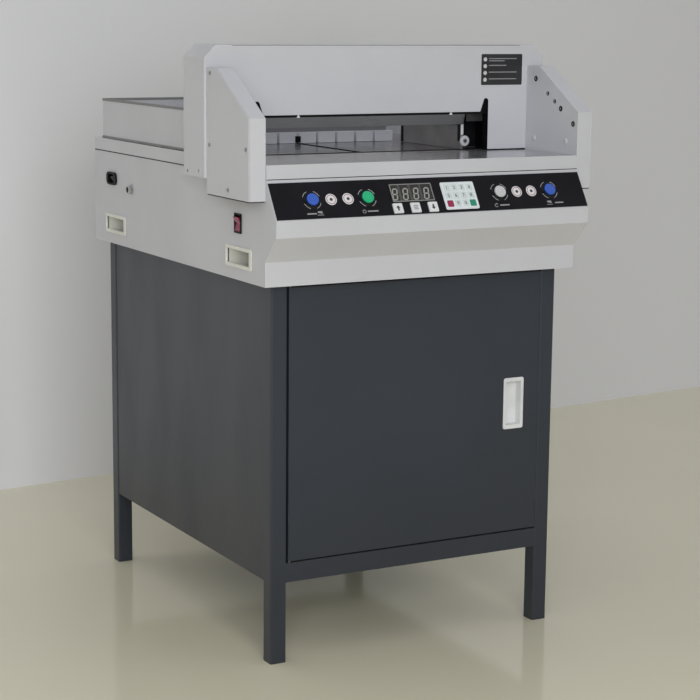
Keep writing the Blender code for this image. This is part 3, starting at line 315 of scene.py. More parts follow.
def print_film():
    """The control panel's printed film: satin black with a fine texture."""
    look = Look("panel_film")
    weave = look.noise(1100, 2)
    tone = look.mix(look.cloud(12, 4), (0.0085, 0.008, 0.0105), (0.012, 0.0115, 0.015))
    return look.made(
        Base_Color=tone,
        Roughness=look.cloud(26, 5, 0.35, 0.7, 0.34, 0.5),
        Normal=look.bump(weave, 0.00003),
        Specular_IOR_Level=0.12,
    )


def ink(name, colour, rough=0.45):
    """Screen-printed ink, a little uneven in tone."""
    look = Look(name)
    tone = look.mix(look.noise(400, 3), shade(colour, 0.88), shade(colour, 1.06))
    return look.made(Base_Color=tone, Roughness=look.cloud(150, 2, 0.3, 0.7, rough - 0.06, rough + 0.06))


SLATE = powder_coat("slate_powder_coat", (0.037, 0.043, 0.056), 0.4, (0.16, 0.17, 0.18), 0.22, foot=(0.15, 0.45))
GREY_PAINT = (0.592, 0.594, 0.622)
GREY_WORN = (0.72, 0.72, 0.72)
cover_low, cover_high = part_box("front_cover")
hood_low, hood_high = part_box("hood_shell")
# The hood's inside, which is darkened with painted shade: within its skin, and below the slope along its top edge.
SKIN = Vector((0.0012, 0.0012, 0.0012))
HOOD_SHADED_INSIDE = (hood_low + SKIN, hood_high - SKIN - Vector((0, 0, 0.0235)))
GREY = powder_coat("light_grey_powder_coat", GREY_PAINT, 0.42, GREY_WORN, 0.06)
HOOD = powder_coat("hood_powder_coat", GREY_PAINT, 0.42, GREY_WORN, 0.06, HOOD_SHADED_INSIDE)
TABLE = table_steel()
KNIFE = ground_metal("ground_knife_steel", (0.4, 0.405, 0.4), 0.34, 1400)
END_PLATE = ground_metal("dark_plate_steel", (0.085, 0.085, 0.086), 0.42, 1400, metallic=0.6)
BRIGHT = ground_metal("turned_steel", (0.5, 0.5, 0.51), 0.26, 1200)
NICKEL = ground_metal("nickel_plate", (0.46, 0.46, 0.47), 0.3, 2200)
CHROME = ground_metal("polished_chrome", (0.62, 0.62, 0.63), 0.07, 2600)
BLACKED = ground_metal("blackened_steel", (0.016, 0.016, 0.018), 0.42, 700, metallic=0.5)
DARK_CHROME = ground_metal("dark_chrome", (0.042, 0.044, 0.052), 0.16, 2500, "Z")
CAST = cast_metal("painted_casting", (0.06, 0.058, 0.058), 0.55)
MOTOR = cast_metal("motor_black", (0.018, 0.018, 0.02), 0.45)
LAY = cast_metal("side_lay_iron", (0.215, 0.205, 0.205), 0.36)
GAUGE = powder_coat("pale_gauge_paint", (0.74, 0.75, 0.8), 0.34, (0.8, 0.8, 0.81), 0.04)
INNER = moulded("inner_black_paint", (0.006, 0.006, 0.007), 0.8, 0.00005, shine=0.04)
CARRIAGE = powder_coat("carriage_paint", (0.21, 0.21, 0.22), 0.45, (0.35, 0.35, 0.36), 0.05)
# Grey strips of painted shade: the fence's trims and the line under the cover's top edge.
SHADE_STRIP = moulded("grey_shade_strip", (0.24, 0.24, 0.236), 0.6, 0.00005)
# Black rubber for the gaskets and seals, also used for the painted shade under the side guards.
DARK_RUBBER_AND_SHADE = moulded("black_rubber_and_shade", (0.02, 0.02, 0.022), 0.62, 0.00005)
# Ivory plastic for the handles, with painted shade on the floors of their hollows.
IVORY = moulded("ivory_plastic", (0.76, 0.76, 0.69), 0.46, 0.00005, depth=(0.308, 0.3285))
WHITE = moulded("white_plastic", (0.74, 0.75, 0.75), 0.38, 0.00002, 0.1)
BLACK = moulded("black_plastic", (0.006, 0.006, 0.007), 0.5, 0.00003, shine=0.2)
BLUE = moulded("blue_lens", (0.028, 0.105, 0.52), 0.22, 0.00001, 0.5, 0.1)
GREEN = moulded("green_lens", (0.006, 0.46, 0.19), 0.24, 0.00001, 0.5, 0.1)
RED = moulded("red_rocker", (0.24, 0.006, 0.045), 0.22, 0.00001, 0.25, 0, 0.3)
RESET = moulded("reset_lens", (0.6, 0.6, 0.61), 0.24, 0.00001, 0.5)
KEYPAD = moulded("keypad_membrane", (0.76, 0.82, 0.84), 0.34, 0.00002)
STICK = scored_stick()
WINDOW = dark_window()
FILM = print_film()
# Pale ink for printed marks, also used for the painted highlights round the bezels.
PALE_INK_AND_GLINT = ink("pale_ink_and_glint", (0.62, 0.62, 0.62))
CAPTION = ink("caption_ink", (0.33, 0.33, 0.34))
GREY_INK = ink("grey_ink", (0.22, 0.22, 0.23))
DARK_INK = ink("dark_ink", (0.045, 0.045, 0.05))
ROSE_INK = ink("rose_ink", (0.4, 0.1, 0.14))
RED_KEY = ink("red_key_ink", (0.34, 0.022, 0.08))
GREEN_KEY = ink("green_key_ink", (0.022, 0.27, 0.17))
PAD_INK = ink("key_field_ink", (0.66, 0.73, 0.71))
SEGMENT = ink("display_segment", (0.34, 0.34, 0.32), 0.3)
FRAME_INK = ink("frame_ink", (0.26, 0.26, 0.26), 0.4)
LABEL = ink("label_black", (0.032, 0.032, 0.034), 0.38)
DIVIDER = ink("display_divider", (0.07, 0.069, 0.062), 0.34)
SENSOR = moulded("sensor_lens", (0.008, 0.002, 0.003), 0.2, 0.000005, shine=0.15)

# Each CAD node's look, under the radius of its edges.
NODE_LOOKS = {
    SHEET_EDGE: (
        (SLATE, "cabinet_frame side_panel_left side_panel_right back_panel cabinet_floor cabinet_door"),
        (GREY, "base_casing front_cover rear_guard wing_left wing_right wing_plate_left wing_plate_right"),
        (HOOD, "hood_shell"),
        (TABLE, "table_plate"),
        (IVORY, "carry_handle_front_left carry_handle_front_right"),
        (IVORY, "carry_handle_rear_left carry_handle_rear_right"),
        (WHITE, "door_pull"),
    ),
    SMALL_EDGE: (
        (KNIFE, "knife_blade"),
        (LAY, "side_lay_left side_lay_right"),
        (BRIGHT, "knife_crank clamp_spindle backgauge_screw door_hinge_pin_upper door_hinge_pin_lower"),
        (WHITE, "key_minus key_select key_plus"),
        (RESET, "reset_button"),
        (KEYPAD, "membrane_keypad"),
        (BLACK, "power_inlet rocker_bezel key_switch_core"),
        (FILM, "control_panel"),
        (DARK_CHROME, "cut_button_left_bezel cut_button_right_bezel power_button_bezel reset_button_bezel"),
        (CHROME, "key_switch_barrel"),
        (BLUE, "cut_button_left cut_button_right"),
        (GREEN, "power_button"),
        (RED, "rocker"),
        (WINDOW, "display_window"),
        (GAUGE, "backgauge_comb"),
        (STICK, "cutting_stick"),
    ),
    CAST_EDGE: (
        (BLACKED, "knife_beam"),
        (CARRIAGE, "backgauge_carriage"),
        (CAST, "tie_bar machine_base clamp_beam drive_gearbox"),
        (INNER, "side_frame_left side_frame_right knife_yoke"),
        (MOTOR, "drive_motor backgauge_motor"),
    ),
}


def dress(node, look, edge):
    """Gives a CAD node its material and rounds its edges with modifiers."""
    target = frame["nodes"][node]
    target.data.materials.clear()
    target.data.materials.append(look)
    target.modifiers.new("weld", "WELD").merge_threshold = 0.00001
    flatten = target.modifiers.new("flat_faces", "DECIMATE")
    flatten.decimate_type = "DISSOLVE"
    flatten.angle_limit = math.radians(0.5)
    bevel = target.modifiers.new("edges", "BEVEL")
    bevel.width = edge
    bevel.segments = 2
    bevel.limit_method = "ANGLE"
    bevel.angle_limit = SHARP
    bevel.harden_normals = False
    target.modifiers.new("normals", "WEIGHTED_NORMAL").keep_sharp = True


for edge, looks in NODE_LOOKS.items():
    for look, names in looks:
        for name in names.split():
            dress(name, look, edge)

# ---------------------------------------------------------------- shapes


def stand(place, normal):
    """A matrix whose X runs across, Y up and Z out of a face at this place."""
    across = UP.cross(normal).normalized()
    rows = Matrix((across, normal.cross(across).normalized(), normal.normalized())).transposed()
    return Matrix.Translation(place) @ rows.to_4x4()


def to_mesh(name, bm):
    mesh = bpy.data.meshes.new(name)
    bm.to_mesh(mesh)
    bm.free()
    return mesh


def to_solid(name, bm):
    """A closed mesh whose faces all look outwards."""
    bmesh.ops.recalc_face_normals(bm, faces=bm.faces)
    return to_mesh(name, bm)


def placed(name, data):
    """A new object in the scene."""
    made = bpy.data.objects.new(name, data)
    bpy.context.scene.collection.objects.link(made)
    return made


def piece(name, bm, look, matrix=None, body="machine"):
    """An object made from a bmesh, riding on a CAD body."""
    return piece_from_mesh(name, to_solid(name, bm), look, matrix, body)


def piece_from_mesh(name, mesh, look, matrix=None, body="machine"):
    mesh.materials.clear()
    mesh.materials.append(look)
    mesh.shade_smooth()
    mesh.set_sharp_from_angle(angle=SHARP)
    made = placed(name, mesh)
    made.matrix_world = matrix or Matrix.Identity(4)
    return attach(made, body)


def polar(centre, radius, angle):
    return centre[0] + radius * math.cos(angle), centre[1] + radius * math.sin(angle)


def arc(centre, radius, start, end, steps=5):
    """Points of an arc between two angles in degrees."""
    turns = [math.radians(start + (end - start) * step / steps) for step in range(steps + 1)]
    return [polar(centre, radius, angle) for angle in turns]


def slab(outline, low, high, bevel=0, segments=2):
    """A flat outline raised from low to high, with its upper rim rounded."""
    bm = bmesh.new()
    face = bm.faces.new([bm.verts.new((across, up, low)) for across, up in outline])
    raised = bmesh.ops.extrude_face_region(bm, geom=[face])
    top = [item for item in raised["geom"] if isinstance(item, bmesh.types.BMVert)]
    bmesh.ops.translate(bm, verts=top, vec=(0, 0, high - low))
    if bevel:
        rim = [edge for edge in bm.edges if all(abs(vert.co.z - high) < 1e-7 for vert in edge.verts)]
        bmesh.ops.bevel(bm, geom=rim, offset=bevel, segments=segments, profile=0.5, affect="EDGES")
    return bm


def circle(radius, centre=(0, 0), sides=32):
    turn = 2 * math.pi / sides
    return [polar(centre, radius, i * turn) for i in range(sides)]


def rounded(width, height, radius, centre=(0, 0), steps=5):
    """A rectangle with round corners, about its centre."""
    outline = []
    for corner, (sign_x, sign_y) in enumerate(((1, 1), (-1, 1), (-1, -1), (1, -1))):
        middle = (centre[0] + sign_x * (width / 2 - radius), centre[1] + sign_y * (height / 2 - radius))
        outline += [polar(middle, radius, math.pi / 2 * (corner + step / steps)) for step in range(steps + 1)]
    return outline


def plate(name, place, normal, look, width, height, radius, top, bevel=0, low=LIFT, steps=5, body="machine"):
    """A flat piece with round corners, standing on a face."""
    bm = slab(rounded(width, height, radius, steps=steps), low, top, bevel)
    return piece(name, bm, look, stand(place, normal), body)


def join_rings(bm, rings):
    """Faces between each ring of points and the next. A ring of one point closes an end."""
    for first, second in zip(rings, rings[1:]):
        count = max(len(first), len(second))
        for i in range(count):
            after = (i + 1) % count
            if len(first) == 1:
                bm.faces.new((first[0], second[i], second[after]))
            elif len(second) == 1:
                bm.faces.new((first[i], first[after], second[0]))
            else:
                bm.faces.new((first[i], first[after], second[after], second[i]))


def ring_slab(outer, inner, low, high):
    """A flat ring between two outlines of the same number of points."""
    bm = bmesh.new()
    rings = []
    for outline, z in ((outer, low), (outer, high), (inner, high), (inner, low)):
        rings.append([bm.verts.new((across, up, z)) for across, up in outline])
    join_rings(bm, rings + rings[:1])
    return bm


def turned(profile, sides=32):
    """A shape turned about Z from (radius, height) points. A radius of 0 closes an end."""
    bm = bmesh.new()
    rings = []
    for radius, z in profile:
        ring = circle(radius, sides=sides) if radius else [(0, 0)]
        rings.append([bm.verts.new((across, up, z)) for across, up in ring])
    join_rings(bm, rings)
    return bm


# ---------------------------------------------------------------- screws

SCREW_R = 0.004
SCREW_HEIGHT = 0.0017
SEAT_R = 0.0034
SEAT_STEP = 0.00025
CROSS_WIDTH = 0.0013


def pan_profile():
    """A low domed head that stands on the sheet."""
    profile = [(0, -0.0006), (SCREW_R, -0.0006), (SCREW_R, SCREW_HEIGHT * 0.35)]
    steps = 5
    for step in range(1, steps):
        angle = math.pi / 2 * step / steps
        profile.append((SCREW_R * math.cos(angle), SCREW_HEIGHT * (0.35 + 0.65 * math.sin(angle))))
    return profile + [(0, SCREW_HEIGHT)]


def flat_profile():
    """A countersunk head whose top lies just below the sheet's face."""
    top = -SEAT_STEP
    return [(0, -0.0012), (0.0021, -0.0012), (SEAT_R - 0.0002, top - 0.0002), (SEAT_R - 0.0004, top), (0, top)]


def screw_mesh(profile):
    """A turned head with a cross recess."""
    top = profile[-1][1]
    holder = placed("screw_head", to_solid("screw_head", turned(profile, 24)))
    arm = SCREW_R * 0.62
    tools = []
    for width, height in ((CROSS_WIDTH, 2 * arm), (2 * arm, CROSS_WIDTH)):
        bm = slab(rounded(width, height, CROSS_WIDTH * 0.3, steps=2), top - 0.0009, top + 0.001)
        tools.append(placed("recess", to_solid("recess", bm)))
        cut = holder.modifiers.new("recess", "BOOLEAN")
        cut.operation = "DIFFERENCE"
        cut.object = tools[-1]
    graph = bpy.context.evaluated_depsgraph_get()
    made = bpy.data.meshes.new_from_object(holder.evaluated_get(graph))
    for helper in (holder, *tools):
        bpy.data.objects.remove(helper)
    return made


PAN_HEAD = screw_mesh(pan_profile())
FLAT_HEAD = screw_mesh(flat_profile())


def screw(name, place, normal, look=NICKEL, turn=20, size=1, head=PAN_HEAD):
    matrix = stand(place, normal) @ Matrix.Rotation(math.radians(turn), 4, "Z") @ Matrix.Scale(size, 4)
    mesh = head.copy()
    mesh.name = name
    return piece_from_mesh(name, mesh, look, matrix)


def screw_row(name, places, normal, step, head=PAN_HEAD):
    """Screws alike, each turned a step further than the one before."""
    for number, place in enumerate(places):
        screw(f"{name}_{number}", place, normal, turn=step * number, head=head)


def screws():
    wing_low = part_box("wing_plate_left")[0]
    hood_places = ((0.077, 0.008), (0.027, 0.011))
    wing_places = ((0.16, 0.217), (0.163, 0.089), (0.011, 0.09), (0.085, 0.014))
    for tag, normal in SIDES:
        x = normal.x * hood_high.x
        spots = [(x, cover_low.y + back, hood_low.z + rise) for back, rise in hood_places]
        screw_row(f"hood_screw_{tag}", spots, normal, 35, FLAT_HEAD)
        x = normal.x * abs(wing_low.x)
        spots = [(x, wing_low.y + back, wing_low.z + rise) for back, rise in wing_places]
        screw_row(f"wing_screw_{tag}", spots, normal, 25)
        x = normal.x * abs(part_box("wing_left")[1].x)
        for number, back in enumerate((0.038, 0.146)):
            spot = (x, wing_low.y + back, wing_low.z + 0.087)
            screw(f"wing_inner_screw_{tag}_{number}", spot, -normal, GREY, 15 + 40 * number, 1.5)
    spot = (-0.1726, cover_low.y + SEAT_STEP + PRINT, cover_high.z - 0.0361)
    screw("cover_screw", spot, FRONT, turn=30, size=1.1, head=FLAT_HEAD)


def back_screws():
    """Rows of screws along the back of the hood, cabinet, casing and fence."""
    spots = [(x, hood_high.y, hood_high.z - 0.045) for x in (-0.3, -0.1, 0.1, 0.3)]
    screw_row("hood_back_screw", spots, REAR, 40)
    low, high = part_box("back_panel")
    inset = 0.012
    for side, x in (("left", low.x + inset), ("right", high.x - inset)):
        spots = [(x, high.y, low.z + 0.06 + (high.z - low.z - 0.12) * step / 3) for step in range(4)]
        screw_row(f"back_panel_screw_{side}", spots, REAR, 30)
    low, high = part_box("base_casing")
    spots = [(x, high.y, low.z + 0.03) for x in (-0.29, 0, 0.29)]
    screw_row("casing_back_screw", spots, REAR, 25, FLAT_HEAD)
    low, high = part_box("rear_guard")
    screw_row("guard_screw", [(x, high.y, low.z + 0.012) for x in (-0.26, 0.26)], REAR, 60)


screws()
back_screws()

# ---------------------------------------------------------------- control panel

PANEL_SHEET = 0.0015
out_of_slope = -Vector(next(j["axis"] for j in frame["joints"] if j["name"] == "cut_left_press"))
panel_low, panel_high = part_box("control_panel")
slope = stand((panel_low + panel_high) / 2 + out_of_slope * PANEL_SHEET / 2, out_of_slope)
to_slope = slope.inverted()


def on_slope(node):
    """(across, up, height) of a node's middle on the panel's face, and its highest point over the face."""
    low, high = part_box(node)
    middle = to_slope @ ((low + high) / 2)
    corners = [to_slope @ vert.co for vert in frame["nodes"][node].data.vertices]
    return middle.x, middle.y, max(corner.z for corner in corners)


def slope_piece(name, bm, look, body="machine"):
    return piece(name, bm, look, slope, body)


def segment(middle, length, thick, upright):
    """One bar of a seven-segment figure, with pointed ends."""
    half = length / 2
    tip = thick / 2
    flat = [(-half, 0), (-half + tip, tip), (half - tip, tip), (half, 0), (half - tip, -tip), (-half + tip, -tip)]
    if upright:
        flat = [(up, across) for across, up in flat]
    return [(middle[0] + across, middle[1] + up) for across, up in flat]


def printed(outlines, low=0):
    """Several separate outlines in one mesh, as thick as print."""
    whole = bmesh.new()
    for outline in outlines:
        mesh = to_mesh("part", slab(outline, low, low + PRINT))
        whole.from_mesh(mesh)
        bpy.data.meshes.remove(mesh)
    return whole


DIGIT_PITCH = 0.0218
DIGIT_WIDTH = 0.009
DIGIT_HEIGHT = 0.0214
DIGIT_DROP = 0.0028
BAR = 0.0026
SLANT = 0.17
DIVIDER_HEIGHT = 0.0315
FRAME_WIDTH = 0.087
FRAME_HEIGHT = 0.035
FRAME_LINE = 0.0017


def display():
    """Four unlit figures behind the window, with the printed frame round them."""
    across, up, top = on_slope("display_window")
    for number in range(4):
        centre = across - 0.003 + (number - 1.5) * DIGIT_PITCH
        side = DIGIT_WIDTH / 2
        rise = DIGIT_HEIGHT / 4
        bars = [segment((0, level * 2 * rise), DIGIT_WIDTH - 0.0006, BAR, False) for level in (-1, 0, 1)]
        bars += [segment((x, z), 2 * rise - 0.0006, BAR, True) for x in (-side, side) for z in (-rise, rise)]
        leaning = [[(centre + x + SLANT * z, up - DIGIT_DROP + z) for x, z in bar] for bar in bars]
        slope_piece(f"display_digit_{number}", printed(leaning, top), SEGMENT)
        if number:
            line = centre - DIGIT_PITCH / 2
            strip = rounded(0.0048, DIVIDER_HEIGHT, 0.0003, (line - 0.0005, up), 2)
            slope_piece(f"display_divider_{number}", slab(strip, top, top + PRINT / 2), DIVIDER)
    outer = rounded(FRAME_WIDTH, FRAME_HEIGHT, 0.0015, (across, up))
    inner = rounded(FRAME_WIDTH - 2 * FRAME_LINE, FRAME_HEIGHT - 2 * FRAME_LINE, 0.0008, (across, up))
    slope_piece("display_frame_line", ring_slab(outer, inner, top, top + 2 * PRINT), FRAME_INK)


def arrow(centre, size, way):
    """A block arrow that points up the slope (way 1) or down it (way -1)."""
    across, up = centre
    points = [(0, 0.5), (0.42, 0.05), (0.16, 0.05), (0.16, -0.45), (-0.16, -0.45), (-0.16, 0.05), (-0.42, 0.05)]
    outline = [(across + x * size, up + way * y * size) for x, y in points]
    return outline if way > 0 else outline[::-1]


def key_marks():
    for body, node, way in (("minus", "key_minus", 1), ("plus", "key_plus", -1)):
        across, up, top = on_slope(node)
        mark = slab(arrow((across, up), 0.0105, way), top, top + PRINT)
        slope_piece(node + "_arrow", mark, DARK_INK, body)
    across, up, top = on_slope("key_select")
    bars = [rounded(0.0095, 0.0016, 0.0006, (across, up + step * 0.0033), 2) for step in (-1, 0, 1)]
    slope_piece("key_select_bars", printed(bars, top), GREY_INK, "select")


KEY_FIELD = 0.013
KEY_STEP_X = 0.016
KEY_STEP_Y = 0.0158


def numeral(text, size):
    """A figure's mesh, lying flat and centred."""
    curve = bpy.data.curves.new("numeral", "FONT")
    curve.body = text
    curve.size = size
    curve.align_x = "CENTER"
    curve.align_y = "CENTER"
    curve.extrude = PRINT / 2
    curve.resolution_u = 4
    holder = placed("numeral", curve)
    made = bpy.data.meshes.new_from_object(holder.evaluated_get(bpy.context.evaluated_depsgraph_get()))
    bpy.data.objects.remove(holder)
    bpy.data.curves.remove(curve)
    return made


def keypad():
    """Twelve raised key fields: ten figures, one red and one green."""
    across, up, top = on_slope("membrane_keypad")
    outer = rounded(0.069, 0.053, 0.0024, (across, up))
    inner = rounded(0.0665, 0.0505, 0.0016, (across, up))
    slope_piece("keypad_border", ring_slab(outer, inner, top, top + 0.0004), WHITE)
    figures = iter("1234567890")
    for row in range(3):
        for column in range(4):
            centre = (across + (column - 1.5) * KEY_STEP_X, up + (1 - row) * KEY_STEP_Y)
            corner = row == 2 and column in (0, 3)
            look = (RED_KEY if column == 0 else GREEN_KEY) if corner else PAD_INK
            field = slab(rounded(KEY_FIELD, KEY_FIELD, 0.0022, centre), top, top + 0.0005, 0.0003)
            slope_piece(f"keypad_key_{row}_{column}", field, look)
            if not corner:
                figure = next(figures)
                matrix = slope @ Matrix.Translation((*centre, top + 0.0005 + PRINT / 2))
                piece_from_mesh(f"keypad_figure_{figure}", numeral(figure, 0.0095), DARK_INK, matrix)


def arc_strip(centre, radius, width, start, end, steps=20):
    """A curved strip's outline, between two angles in degrees."""
    outer = arc(centre, radius + width / 2, start, end, steps)
    return outer + arc(centre, radius - width / 2, start, end, steps)[::-1]


def button_rings():
    """A thin ring inside each dark bezel, and four pale arcs round it, painted highlights for the bezel's glints."""
    for node in ("cut_button_left", "power_button", "reset_button", "cut_button_right"):
        across, up, top = on_slope(node + "_bezel")
        profile = [(0.0119, top - 0.0006), (0.0119, top + 0.0002)]
        profile += arc((0.0127, top + 0.0002), 0.0006, 180, 0)[1:]
        profile += [(0.0133, top - 0.0006), (0.0119, top - 0.0006)]
        bm = turned(profile, 48)
        bmesh.ops.remove_doubles(bm, verts=bm.verts, dist=1e-6)
        bmesh.ops.translate(bm, verts=bm.verts, vec=(across, up, 0))
        slope_piece(node + "_ring", bm, DARK_CHROME)
        # Painted highlights: four pale arcs stand in for the glints on the dark bezel.
        glint_arcs = [arc_strip((across, up), 0.0176, 0.0007, start, start + 48, 10) for start in (21, 111, 201, 291)]
        slope_piece(node + "_arcs", printed(glint_arcs), PALE_INK_AND_GLINT)


def plain_discs():
    """Plain stickers beside the cut buttons: a white disc with a thin ring and a dot."""
    places = (("left_outer", -0.212), ("left_inner", -0.178), ("right_inner", 0.178), ("right_outer", 0.21))
    for name, across in places:
        centre = (across, 0)
        disc = slab(circle(0.011, centre, 40), 0, PRINT * 2, PRINT)
        slope_piece(f"disc_{name}", disc, WHITE)
        ring = ring_slab(circle(0.0092, centre, 40), circle(0.008, centre, 40), PRINT * 2, PRINT * 3)
        slope_piece(f"disc_{name}_ring", ring, ROSE_INK)
        slope_piece(f"disc_{name}_dot", slab(circle(0.003, centre, 24), PRINT * 2, PRINT * 3), DARK_INK)


# How far under the panel's middle line the symbols stand, and the width of their lines.
SYMBOL_DROP = -0.0262
SYMBOL_LINE = 0.0011


def symbol(name, shapes, start, end):
    """A printed symbol with a short bar beside it."""
    bar = rounded(end - start, 0.0026, 0.0008, ((start + end) / 2, SYMBOL_DROP), 2)
    slope_piece(name, printed([*shapes, bar]), CAPTION)


def panel_symbols():
    """Plain symbols and short bars under each button: knife down, power and reset."""
    for name, across, bar in (("left", -0.24, (-0.266, -0.247)), ("right", 0.243, (0.255, 0.274))):
        blade = ((-0.0045, 0.0044), (-0.0045, 0.0014), (0.0045, -0.0006), (0.0045, 0.0044))
        blade = [(across + x, SYMBOL_DROP + y) for x, y in blade]
        line = rounded(0.0125, SYMBOL_LINE, SYMBOL_LINE * 0.4, (across, SYMBOL_DROP - 0.003), 2)
        symbol(f"cut_symbol_{name}", (blade, line), *bar)
    across = -0.152
    ring = arc_strip((across, SYMBOL_DROP), 0.0032, SYMBOL_LINE, 120, 420)
    line = rounded(SYMBOL_LINE, 0.004, SYMBOL_LINE * 0.4, (across, SYMBOL_DROP + 0.0026), 2)
    symbol("power_symbol", (ring, line), -0.1455, -0.1235)
    across = 0.1255
    ring = arc_strip((across, SYMBOL_DROP), 0.0032, SYMBOL_LINE, 60, 330)
    tip = [(across + x, SYMBOL_DROP + y) for x, y in ((0.0008, 0.0046), (0.0008, 0.001), (0.0038, 0.003))]
    symbol("reset_symbol", (ring, tip), 0.133, 0.154)


display()
key_marks()
keypad()
button_rings()
plain_discs()
panel_symbols()

# ---------------------------------------------------------------- cover, guards, table and cabinet


def label_plate():
    """A dark plate on the cover with four rows of plain dots and lines."""
    middle = (0.269, cover_low.y, cover_high.z - 0.0475)
    matrix = stand(middle, FRONT)
    plate("label_plate", middle, FRONT, LABEL, 0.094, 0.0595, 0.002, 0.0005, 0.0002, 0)
    dots, lines = [], []
    for row, widths in enumerate(((0.064, 0.036), (0.04,), (0.064,), (0.064,))):
        level = 0.0195 - row * 0.013
        dots.append(circle(0.004, (-0.0385, level), 20))
        for step, width in enumerate(widths):
            lines.append(rounded(width, 0.0016, 0.0006, (-0.03 + width / 2, level + 0.0015 - step * 0.0042), 2))
    piece("label_dots", printed(dots, 0.0005), PALE_INK_AND_GLINT, matrix)
    piece("label_lines", printed(lines, 0.0005), CAPTION, matrix)


def cut_pointers():
    """Two small white pointers on the cover's lower edge that mark the cutting width."""
    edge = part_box("knife_blade")[0].z + 0.026
    for tag, x in (("left", -0.175), ("right", 0.155)):
        bm = slab([(-0.004, 0), (0.004, 0), (0, 0.0062)], 0, 0.0008, 0.0002, 1)
        piece(f"cut_pointer_{tag}", bm, WHITE, stand((x, cover_low.y + 0.0006, edge - 0.0048), FRONT))


def sensor_lenses():
    """The light barrier's lenses, set back in the holes of each side guard."""
    low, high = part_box("wing_left")
    places = ((0.144, 0.202), (0.102, 0.175), (0.078, 0.161), (0.057, 0.148), (0.015, 0.121))
    profile = [(0, -0.0022), (0.0027, -0.0022), (0.0027, -0.0016)]
    profile += [(0.0022, -0.0011), (0.0013, -0.0008), (0, -0.0007)]
    for tag, out in SIDES:
        for number, (back, rise) in enumerate(places):
            matrix = stand((out.x * abs(high.x), low.y + back, low.z + rise), -out)
            piece(f"sensor_lens_{tag}_{number}", turned(profile, 20), SENSOR, matrix)
            reach = 0.004 if number in (1, 2) else 0.0054
            rim = ring_slab(circle(reach), circle(0.0026), LIFT, 0.0006)
            piece(f"sensor_rim_{tag}_{number}", rim, BLACK, matrix)


def lay_fittings():
    """Each side lay's white edge strip and flat knurled disc in front, and black end bands on its inner face."""
    for tag, out in SIDES:
        low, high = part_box("side_lay_" + tag)
        side = out.x
        inner = high.x if out is LEFT else low.x
        middle = (inner + side * 0.003, low.y, high.z - 0.0105)
        plate(f"lay_strip_{tag}", middle, FRONT, WHITE, 0.0054, 0.02, 0.0008, 0.0022, 0.0006)
        teeth = 24
        knob = [polar((0, 0), 0.0106 if tooth % 2 else 0.0101, math.pi * tooth / teeth) for tooth in range(2 * teeth)]
        place = (inner + side * 0.009, low.y, low.z + 0.016)
        disc = slab(knob, LIFT, 0.0028, 0.0008)
        piece(f"lay_disc_{tag}", disc, GREY, stand(place, FRONT))
        hub = turned([(0, 0.0026), (0.0042, 0.0026), (0.0042, 0.003), (0.0036, 0.0033), (0, 0.0033)], 24)
        piece(f"lay_disc_hub_{tag}", hub, NICKEL, stand(place, FRONT))
        depth = 0.01
        for end, y, z, height in (
            ("front", low.y + depth / 2 + 0.0004, high.z - 0.017, 0.033),
            ("rear", high.y - depth / 2 - 0.0004, (low.z + high.z) / 2, high.z - low.z - 0.0012),
        ):
            plate(f"lay_band_{end}_{tag}", (inner, y, z), -out, BLACK, depth, height, 0.0006, 0.0006, 0.0002)


def sweep(profile, path):
    """A profile of (outwards, up) points carried along an open level path, mitred at its corners.

    Outwards is to the right of the path's direction.
    """
    bm = bmesh.new()
    spots = [Vector(spot) for spot in path]
    ways = [(after - spot).normalized() for spot, after in zip(spots, spots[1:])]
    rings = []
    for spot, before, after in zip(spots, ways[:1] + ways, ways + ways[-1:]):
        mitre = Vector((before.y + after.y, -before.x - after.x, 0)) / 2
        mitre /= mitre.length_squared
        rings.append([bm.verts.new(spot + mitre * out + UP * up) for out, up in profile])
    join_rings(bm, rings)
    bm.faces.new(rings[0])
    bm.faces.new(rings[-1])
    return bm


def guard_shade_trims():
    """Grey strips of painted shade along the fence: a channel over its top edge for the hem's shadow, and a foot
    outside its lower edge for the shadow gap on the table.
    """
    low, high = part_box("rear_guard")
    path = [(high.x, low.y, 0), (high.x, high.y, 0), (low.x, high.y, 0), (low.x, low.y, 0)]
    wall = 0.002
    side, top, drop = 0.0008, 0.0006, 0.0044
    play = 0.00005
    channel = [(side, -drop), (side, top * 0.4), (side * 0.4, top), (-wall - side * 0.4, top)]
    channel += [(-wall - side, top * 0.4), (-wall - side, -drop), (-wall - play, -drop)]
    channel += [(-wall - play, play), (play, play), (play, -drop)]
    foot = [(play, 0.0001), (0.0018, 0.0001), (0.0016, 0.0016), (0.0006, 0.004), (play, 0.0044)]
    for name, profile, level in (("guard_edge_shade_strip", channel, high.z), ("guard_foot_shade_strip", foot, low.z)):
        piece(name, sweep([(out, level + up) for out, up in profile], path), SHADE_STRIP)


